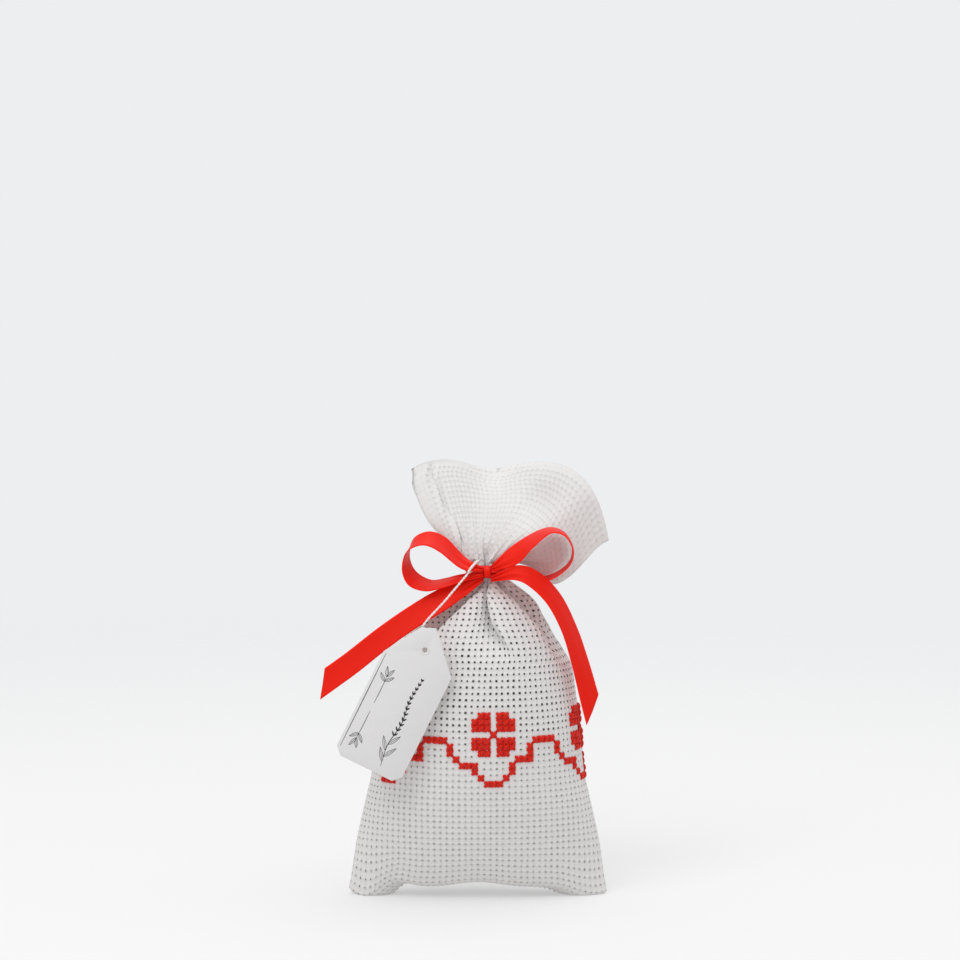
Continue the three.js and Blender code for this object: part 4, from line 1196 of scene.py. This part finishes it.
class SACHET_OT_bow(bpy.types.Operator):
    """Tie the ribbon: the band round the neck, the knot, two loops and two tails"""
    bl_idname = "sachet.bow"
    bl_label = "Ribbon bow"

    def execute(self, context):
        for part, side, body, rows, reach, cut, steps in (
                ("loop", "left", "pouch", LEFT_LOOP_SHARES, LOOP_REACH, 0, 130),
                ("loop", "right", "pouch", RIGHT_LOOP_SHARES, RIGHT_LOOP_REACH, 0, 130),
                ("tail", "left", "left_tail", LEFT_TAIL_SHARES, LEFT_TAIL_REACH, LEFT_TAIL_CUT, 90),
                ("tail", "right", "right_tail", RIGHT_TAIL_SHARES, RIGHT_TAIL_REACH, RIGHT_TAIL_CUT, 90)):
            piece = ribbon_piece(f"satin_{part}_{side}", rows, reach, cut, steps)
            dress(piece, satin(), body, "ribbon", f"bow_{part}_{side}")
        self.band()
        self.knot()
        return {"FINISHED"}

    def band(self):
        """The gathered turn of ribbon round the neck."""
        low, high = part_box("neck_ribbon")
        angle = np.arange(BAND_AROUND) / BAND_AROUND * 2 * math.pi
        share = (np.arange(BAND_ACROSS + 1) / BAND_ACROSS - 0.5)[:, None]
        crease = BAND_CREASE * np.cos(share * 6 * math.pi + 0.9 * np.sin(2 * angle))
        radius = (high.x - low.x) / 2 - BAND_INSET + crease + BAND_WAVE * np.sin(3 * angle + 4 * share)
        share = np.broadcast_to(share, radius.shape)
        grid = np.array((low + high) / 2) + np.stack(
            [radius * np.cos(angle), radius * np.sin(angle), share * (high.z - low.z)], -1)
        piece = new_piece("neck_band", grid.reshape(-1, 3), grid_faces(*radius.shape, around=True))
        keep_pattern(piece, "ribbon", np.stack([radius * angle / MM, share * 6.4, share * 0], -1))
        thicken(piece, sizes().ribbon_thickness, -1)
        dress(piece, satin(), "pouch", "ribbon", "neck_ribbon")

    def knot(self):
        """The short turn of ribbon that holds the bow together."""
        low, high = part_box("ribbon_knot")
        centre, half = (low + high) / 2, (high - low) / 2
        piece = primitive(
            "satin_knot", bpy.ops.mesh.primitive_uv_sphere_add, segments=48, ring_count=24, radius=1)
        pattern = []
        for vertex in piece.data.vertices:
            x, _, z = vertex.co
            boxed = [math.copysign(abs(v) ** 0.84, v) for v in vertex.co]
            waist = 1 - 0.16 * math.exp(-((z / 0.4) ** 2))
            crease = 1 + 0.07 * math.cos(x * 11 + 1.5 * z)
            vertex.co = (centre.x + half.x * 0.92 * (boxed[0] * waist - 0.14 * z),
                         centre.y + half.y * boxed[1] * crease,
                         centre.z + half.z * 0.8 * boxed[2])
            pattern.append((vertex.co.z / MM, x * 2.6, 0))
        piece.data.shade_smooth()
        keep_pattern(piece, "ribbon", pattern)
        dress(piece, satin(), "pouch", "ribbon", "ribbon_knot")


TAG_WIDTH = 20.8 * MM
TAG_LENGTH = 44.8 * MM
TAG_THICK = 0.5 * MM
TAG_SHOULDER = 10.8 * MM
TAG_TOP_WIDTH = 4 * MM
TAG_TOP_ASIDE = 1.9 * MM
TAG_LEFT_LOWER = 1.7 * MM
TAG_CORNER = 2.2 * MM
TAG_HOLE = 1.5 * MM
TAG_HOLE_INSET = 7 * MM
TAG_TILT = 26.4 * DEG
TAG_ASIDE = 17.8 * MM
TAG_BELOW = 20.8 * MM
TAG_SOFT_EDGE = 0.07 * MM
EMBOSS_RADIUS = 0.2 * MM
INK_LIFT = 0.03 * MM
INK_THICK = 0.02 * MM
UPRIGHT = (math.pi / 2, 0, 0)


def tag_place():
    """The tag's hole on the card's back face, and the turn that hangs it aslant."""
    _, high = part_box("tag_card")
    hole = Vector((KNOT[0] - TAG_ASIDE, high.y, KNOT[2] - TAG_BELOW))
    return Matrix.Translation(hole) @ Matrix.Rotation(TAG_TILT, 4, "Y")


def leaf(length, width, turn, at, steps=9):
    """The outline of one leaf, from its foot at a place, in the card's plane."""
    side = [(math.sin(math.pi * k / steps) ** 0.8 * width / 2 * (1 - 0.35 * k / steps), k / steps * length)
            for k in range(steps + 1)]
    sine, cosine = math.sin(turn), math.cos(turn)
    return [(at[0] + x * cosine + y * sine, at[1] - x * sine + y * cosine)
            for x, y in side + [(-x, y) for x, y in side[-2:0:-1]]]


def stroke(points, width):
    """The outline of a thin drawn line that tapers to both ends."""
    points = spline(points, np.linspace(0, 1, 24))
    way = unit(np.gradient(points, axis=0))
    aside = np.stack([-way[:, 1], way[:, 0]], -1)
    aside *= width / 2 * (0.35 + 0.65 * np.sin(np.linspace(0.05, 0.95, 24) * math.pi))[:, None]
    return [tuple(p) for p in (*(points + aside), *(points - aside)[::-1])]


def vein_leaf(length, width, turn, at):
    """A drawn leaf: its two edges and its vein as thin lines."""
    outline = leaf(length, width, turn, at, steps=8)
    tip = len(outline) // 2
    edges = [outline[:tip + 1], outline[tip:] + outline[:1], [outline[0], outline[tip]]]
    return [stroke(edge, 0.13) for edge in edges]


class SACHET_OT_tag(bpy.types.Operator):
    """Cut the paper tag, punch its hole and print a line and sprigs on it"""
    bl_idname = "sachet.tag"
    bl_label = "Paper tag"

    def execute(self, context):
        card = primitive("paper_tag", bpy.ops.mesh.primitive_plane_add, size=1, rotation=UPRIGHT)
        self.shape(card)
        thicken(card, TAG_THICK, 1)
        self.punch(card)
        soft = card.modifiers.new("edge", "BEVEL")
        soft.width = TAG_SOFT_EDGE
        soft.segments = 2
        soft.limit_method = "ANGLE"
        apply_modifiers(card)
        card.data.transform(tag_place())
        select_only(card)
        bpy.ops.object.shade_smooth_by_angle(angle=0.6)
        paper = look("white_card", paper_material, "paper")
        dress(card, paper, "tag", "tag_paper", "tag_card")
        self.ring(paper)
        self.print()
        return {"FINISHED"}

    def shape(self, card):
        """Gives the flat card its size, its slanted shoulders and its cut lower corners."""
        top, bottom = TAG_HOLE_INSET, TAG_HOLE_INSET - TAG_LENGTH
        mesh = bmesh.new()
        mesh.from_mesh(card.data)
        for vertex in mesh.verts:
            lower = TAG_LEFT_LOWER if vertex.co.x < 0 else 0
            height = top - TAG_SHOULDER - lower if vertex.co.z > 0 else bottom
            vertex.co = (math.copysign(TAG_WIDTH / 2, vertex.co.x), 0, height)
        upper = [edge for edge in mesh.edges if all(v.co.z > bottom / 2 for v in edge.verts)]
        grown = bmesh.ops.extrude_edge_only(mesh, edges=upper)["geom"]
        for vertex in (item for item in grown if isinstance(item, bmesh.types.BMVert)):
            lower = TAG_LEFT_LOWER if vertex.co.x < 0 else 0
            vertex.co = (math.copysign(TAG_TOP_WIDTH / 2, vertex.co.x) - TAG_TOP_ASIDE, 0, top - lower)
        corners = [vertex for vertex in mesh.verts if vertex.co.z < bottom + TAG_CORNER]
        bmesh.ops.bevel(mesh, geom=corners, offset=TAG_CORNER, affect="VERTICES", segments=1)
        bmesh.ops.recalc_face_normals(mesh, faces=mesh.faces)
        for face in mesh.faces:
            if face.normal.y > 0:
                face.normal_flip()
        mesh.to_mesh(card.data)
        mesh.free()

    def punch(self, card):
        cutter = primitive("cutter", bpy.ops.mesh.primitive_cylinder_add, vertices=40,
                           radius=TAG_HOLE / 2, depth=8 * TAG_THICK, rotation=UPRIGHT)
        hole = card.modifiers.new("hole", "BOOLEAN")
        hole.object = cutter
        hole.operation = "DIFFERENCE"
        hole.solver = "EXACT"
        apply_modifiers(card)
        bpy.data.objects.remove(cutter)

    def ring(self, paper):
        """The embossed ring that the punch leaves round the hole."""
        piece = primitive("tag_hole_emboss", bpy.ops.mesh.primitive_torus_add, major_segments=48,
                          minor_segments=10, major_radius=TAG_HOLE * 0.8, minor_radius=EMBOSS_RADIUS,
                          rotation=UPRIGHT)
        for vertex in piece.data.vertices:
            vertex.co.y = vertex.co.y * 0.6 - TAG_THICK
        piece.data.transform(tag_place())
        piece.data.shade_smooth()
        dress(piece, paper, "tag", "tag_paper")

    def drawing(self):
        """Outlines in millimetres from the hole: a rule on the left, two sprigs and a long stem."""
        outlines = [stroke([(-9.5, -5.6), (-9.5, -20), (-9.5, -35.2)], 0.2)]
        for foot, tip in ((-20.0, -11.6), (-22.3, -31.2)):
            outlines.append(stroke([(-6.3, foot), (-6.25, (foot + tip) / 2), (-6.35, tip)], 0.17))
            up = 1 if tip > foot else -1
            for turn, size, back in ((-46, 2.9, 1.6), (44, 3.0, 1.5), (-20, 3.2, 0.2), (24, 2.9, 0.0)):
                angle = turn * DEG if up > 0 else math.pi - turn * DEG
                outlines += vein_leaf(size, 1.0, angle, (-6.35, tip - up * back))
        stem = [(3.4, -35.4), (2.5, -29), (3.4, -22), (2.6, -15), (3.2, -8.5)]
        outlines.append(stroke(stem, 0.22))
        for k, at in enumerate(spline(stem, np.linspace(0.36, 1, 12))):
            outlines += [leaf(1.5 - 0.05 * k, 0.58, side * (36 - k) * DEG, at) for side in (-1, 1)]
        for at, side in zip(spline(stem, np.array([0.05, 0.11, 0.18, 0.25])), (-1, 1, -1, 1)):
            outlines += vein_leaf(4.4, 1.1, side * 32 * DEG, at)
        return outlines

    def print(self):
        """The drawing as a film of ink on the front of the card."""
        places, faces = [], []
        for outline in self.drawing():
            start, count = len(places), len(outline)
            places += [(x * MM, -TAG_THICK - INK_LIFT, y * MM) for x, y in outline]
            faces += [(start + k, start + k + 1, start + count - 2 - k, start + count - 1 - k)
                      for k in range(count // 2 - 1)]
        piece = new_piece("tag_print", places, faces, smooth_faces=False)
        thicken(piece, INK_THICK, 0)
        outward(piece)
        piece.data.transform(tag_place())
        dress(piece, look("black_ink", ink_material, "ink"), "tag", "tag_paper")


STRING_BEND_ASIDE = 18.7 * MM
STRING_BEND_BELOW = 14.8 * MM
STRING_BEND_FRONT = 21 * MM
STRING_END = 0.8 * MM
STRING_SLACK = 0.4 * MM
RING_LEAN = 0.5
END_KNOT_SIZE = 0.231 * MM
END_KNOT_RADIUS = 0.3 * MM
LOOP_HALF_THICK = 0.2 * MM
LOOP_PLACE_SHARE = 0.045


class SACHET_OT_string(bpy.types.Operator):
    """Hang the tag's string from a small loop round the bow and knot it behind the card"""
    bl_idname = "sachet.string"
    bl_label = "Tag string"

    def execute(self, context):
        radius = sizes().string_diameter / 2
        knot_low, knot_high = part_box("tag_string_knot")
        bead = np.array((knot_low + knot_high) / 2)
        loop = self.loop_route()
        bend = np.array((
            KNOT[0] - STRING_BEND_ASIDE, PLACE.y - STRING_BEND_FRONT, KNOT[2] - STRING_BEND_BELOW))
        top = loop[np.argmin(loop[:, 2])]
        start = bead - np.array((0, 0, STRING_END))
        route = spline([start, bead, bend, mix(bend, top, 0.5), top], np.linspace(0, 1, 60))
        parts = tube(route, radius, 10, turns_per_metre=420, plies=2)
        string = self.piece("twisted_string", parts, "tag_string")
        turn = np.linspace(0, 2 * math.pi, 60, endpoint=False)
        shape = np.stack([np.sin(turn) + 2 * np.sin(2 * turn), -np.sin(3 * turn) * 0.8,
                          np.cos(turn) - 2 * np.cos(2 * turn)], -1)
        parts = tube(shape * END_KNOT_SIZE + bead, END_KNOT_RADIUS, 8, closed=True)
        end = self.piece("string_end_knot", parts, "tag_string_knot")
        parts = tube(loop, radius, 10, closed=True)
        self.piece("string_loop_ring", parts, "tag_string_loop", "string_loop")
        return {"FINISHED"}

    def piece(self, name, parts, node, body="string"):
        return thread_piece(name, parts, white_thread(), body, "string", node)

    def loop_route(self):
        """The way of the string's loop round the upper side of the left bow loop."""
        shares = np.array([LOOP_PLACE_SHARE, LOOP_PLACE_SHARE + 0.002])
        line = ribbon_line(LEFT_LOOP_SHARES, LOOP_REACH, shares)
        at, wide = line[0, :3], line[0, 3:]
        way = unit(line[1, :3] - at)
        clear = STRING_SLACK + sizes().string_diameter / 2
        angle = np.linspace(0, 2 * math.pi, 48, endpoint=False)[:, None]
        long_way = unit(wide) + way * math.copysign(RING_LEAN, way[0] * wide[2])
        major = long_way * (np.linalg.norm(wide) / 2 + clear)
        minor = unit(np.cross(way, wide)) * (LOOP_HALF_THICK + clear)
        return at + major * np.cos(angle) + minor * np.sin(angle)


CAMERA_DISTANCE = 780 * MM
CAMERA_AIM = (0.6 * MM, 122 * MM)
CAMERA_PITCH = 3 * DEG
CAMERA_LENS = 100.0
FLOOR_GLOW = 0.33
FLOOR_CLEAR = 0.25
FLOOR_END = 0.95
WORLD_STRENGTH = 0.72
BACKDROP = (0.84, 0.855, 0.87, 1)
LAMPS = (("key", (-0.35, -0.75, 1.15), 7, 0.9), ("top", (0.25, 0.2, 1.3), 5, 1.1))
LAMP_AIM = (0, 0, 0.06)
FLOOR_BELOW = 0.02 * MM


class SACHET_OT_stage(bpy.types.Operator):
    """Set up the camera, the pale floor and the soft studio light"""
    bl_idname = "sachet.stage"
    bl_label = "Stage"

    def execute(self, context):
        scene = context.scene
        camera = bpy.data.objects.new("camera", bpy.data.cameras.new("camera"))
        scene.collection.objects.link(camera)
        camera.data.lens = CAMERA_LENS
        camera.data.sensor_width = 36
        camera.data.clip_start = 0.01
        camera.location = PLACE + Vector((
            CAMERA_AIM[0], -CAMERA_DISTANCE * math.cos(CAMERA_PITCH),
            CAMERA_AIM[1] + CAMERA_DISTANCE * math.sin(CAMERA_PITCH)))
        camera.rotation_euler = (math.pi / 2 - CAMERA_PITCH, 0, 0)
        scene.camera = camera
        scene.view_settings.view_transform = "Standard"
        self.floor()
        self.lights()
        return {"FINISHED"}

    def floor(self):
        floor = primitive("floor", bpy.ops.mesh.primitive_plane_add, size=6)
        floor.data.transform(Matrix.Translation((0, 0, -FLOOR_BELOW)))
        shader = Shader("pale_floor", Roughness=0.9, Specular_IOR_Level=0.2)
        shader.feed("Base Color", (0.5, 0.5, 0.503, 1))
        shader.feed("Emission Color", (1, 1, 1, 1))
        shader.feed("Emission Strength", FLOOR_GLOW)
        away = shader.node(
            "ShaderNodeVectorMath", {"operation": "LENGTH"}, {0: shader.place()}, output="Value")
        values = {0: away, 1: FLOOR_CLEAR, 2: FLOOR_END, 3: 1, 4: 0}
        shader.feed("Alpha", shader.node("ShaderNodeMapRange", {"interpolation_type": "SMOOTHSTEP"}, values))
        floor.data.materials.append(shader.material)

    def lights(self):
        world = bpy.data.worlds.new("studio")
        bpy.context.scene.world = world
        world.use_nodes = True
        tree = world.node_tree
        surface = tree.nodes["Background"]
        surface.inputs["Color"].default_value = (1, 1, 1, 1)
        surface.inputs["Strength"].default_value = WORLD_STRENGTH
        shown = tree.nodes.new("ShaderNodeBackground")
        shown.inputs["Color"].default_value = BACKDROP
        ray = tree.nodes.new("ShaderNodeLightPath")
        blend = tree.nodes.new("ShaderNodeMixShader")
        for start, end in (
                (ray.outputs["Is Camera Ray"], blend.inputs[0]), (surface.outputs[0], blend.inputs[1]),
                (shown.outputs[0], blend.inputs[2]),
                (blend.outputs[0], tree.nodes["World Output"].inputs["Surface"])):
            tree.links.new(start, end)
        for name, place, power, size in LAMPS:
            lamp = bpy.data.lights.new(name, "AREA")
            lamp.energy = power
            lamp.size = size
            holder = bpy.data.objects.new(name, lamp)
            bpy.context.scene.collection.objects.link(holder)
            holder.location = place
            aim = Vector(LAMP_AIM) - holder.location
            holder.rotation_euler = aim.to_track_quat("-Z", "Y").to_euler()


class SACHET_PT_panel(bpy.types.Panel):
    """Sizes, colours and build steps of the sachet"""
    bl_idname = "SACHET_PT_panel"
    bl_label = "Lavender Sachet"
    bl_space_type = "VIEW_3D"
    bl_region_type = "UI"
    bl_category = "Sachet"

    def draw(self, context):
        for group in (context.scene.sachet_sizes, context.scene.sachet_colors):
            for name in group.__annotations__:
                self.layout.prop(group, name)
        for operator in OPERATORS:
            self.layout.operator(operator.bl_idname)


OPERATORS = [
    SACHET_OT_stage, SACHET_OT_cloth, SACHET_OT_embroidery, SACHET_OT_seams,
    SACHET_OT_inner_bag, SACHET_OT_bow, SACHET_OT_tag, SACHET_OT_string,
]
CLASSES = [SachetSizes, SachetColors, *OPERATORS, SACHET_PT_panel]


def register():
    for each in CLASSES:
        bpy.utils.register_class(each)
    bpy.types.Scene.sachet_sizes = bpy.props.PointerProperty(type=SachetSizes)
    bpy.types.Scene.sachet_colors = bpy.props.PointerProperty(type=SachetColors)


def unregister():
    del bpy.types.Scene.sachet_sizes
    del bpy.types.Scene.sachet_colors
    for each in reversed(CLASSES):
        bpy.utils.unregister_class(each)


def main():
    register()
    bpy.ops.sachet.stage()
    bpy.ops.sachet.string()
    bpy.ops.sachet.cloth()
    bpy.ops.sachet.embroidery()
    bpy.ops.sachet.seams()
    bpy.ops.sachet.inner_bag()
    bpy.ops.sachet.bow()
    bpy.ops.sachet.tag()


if __name__ == "__main__":
    main()
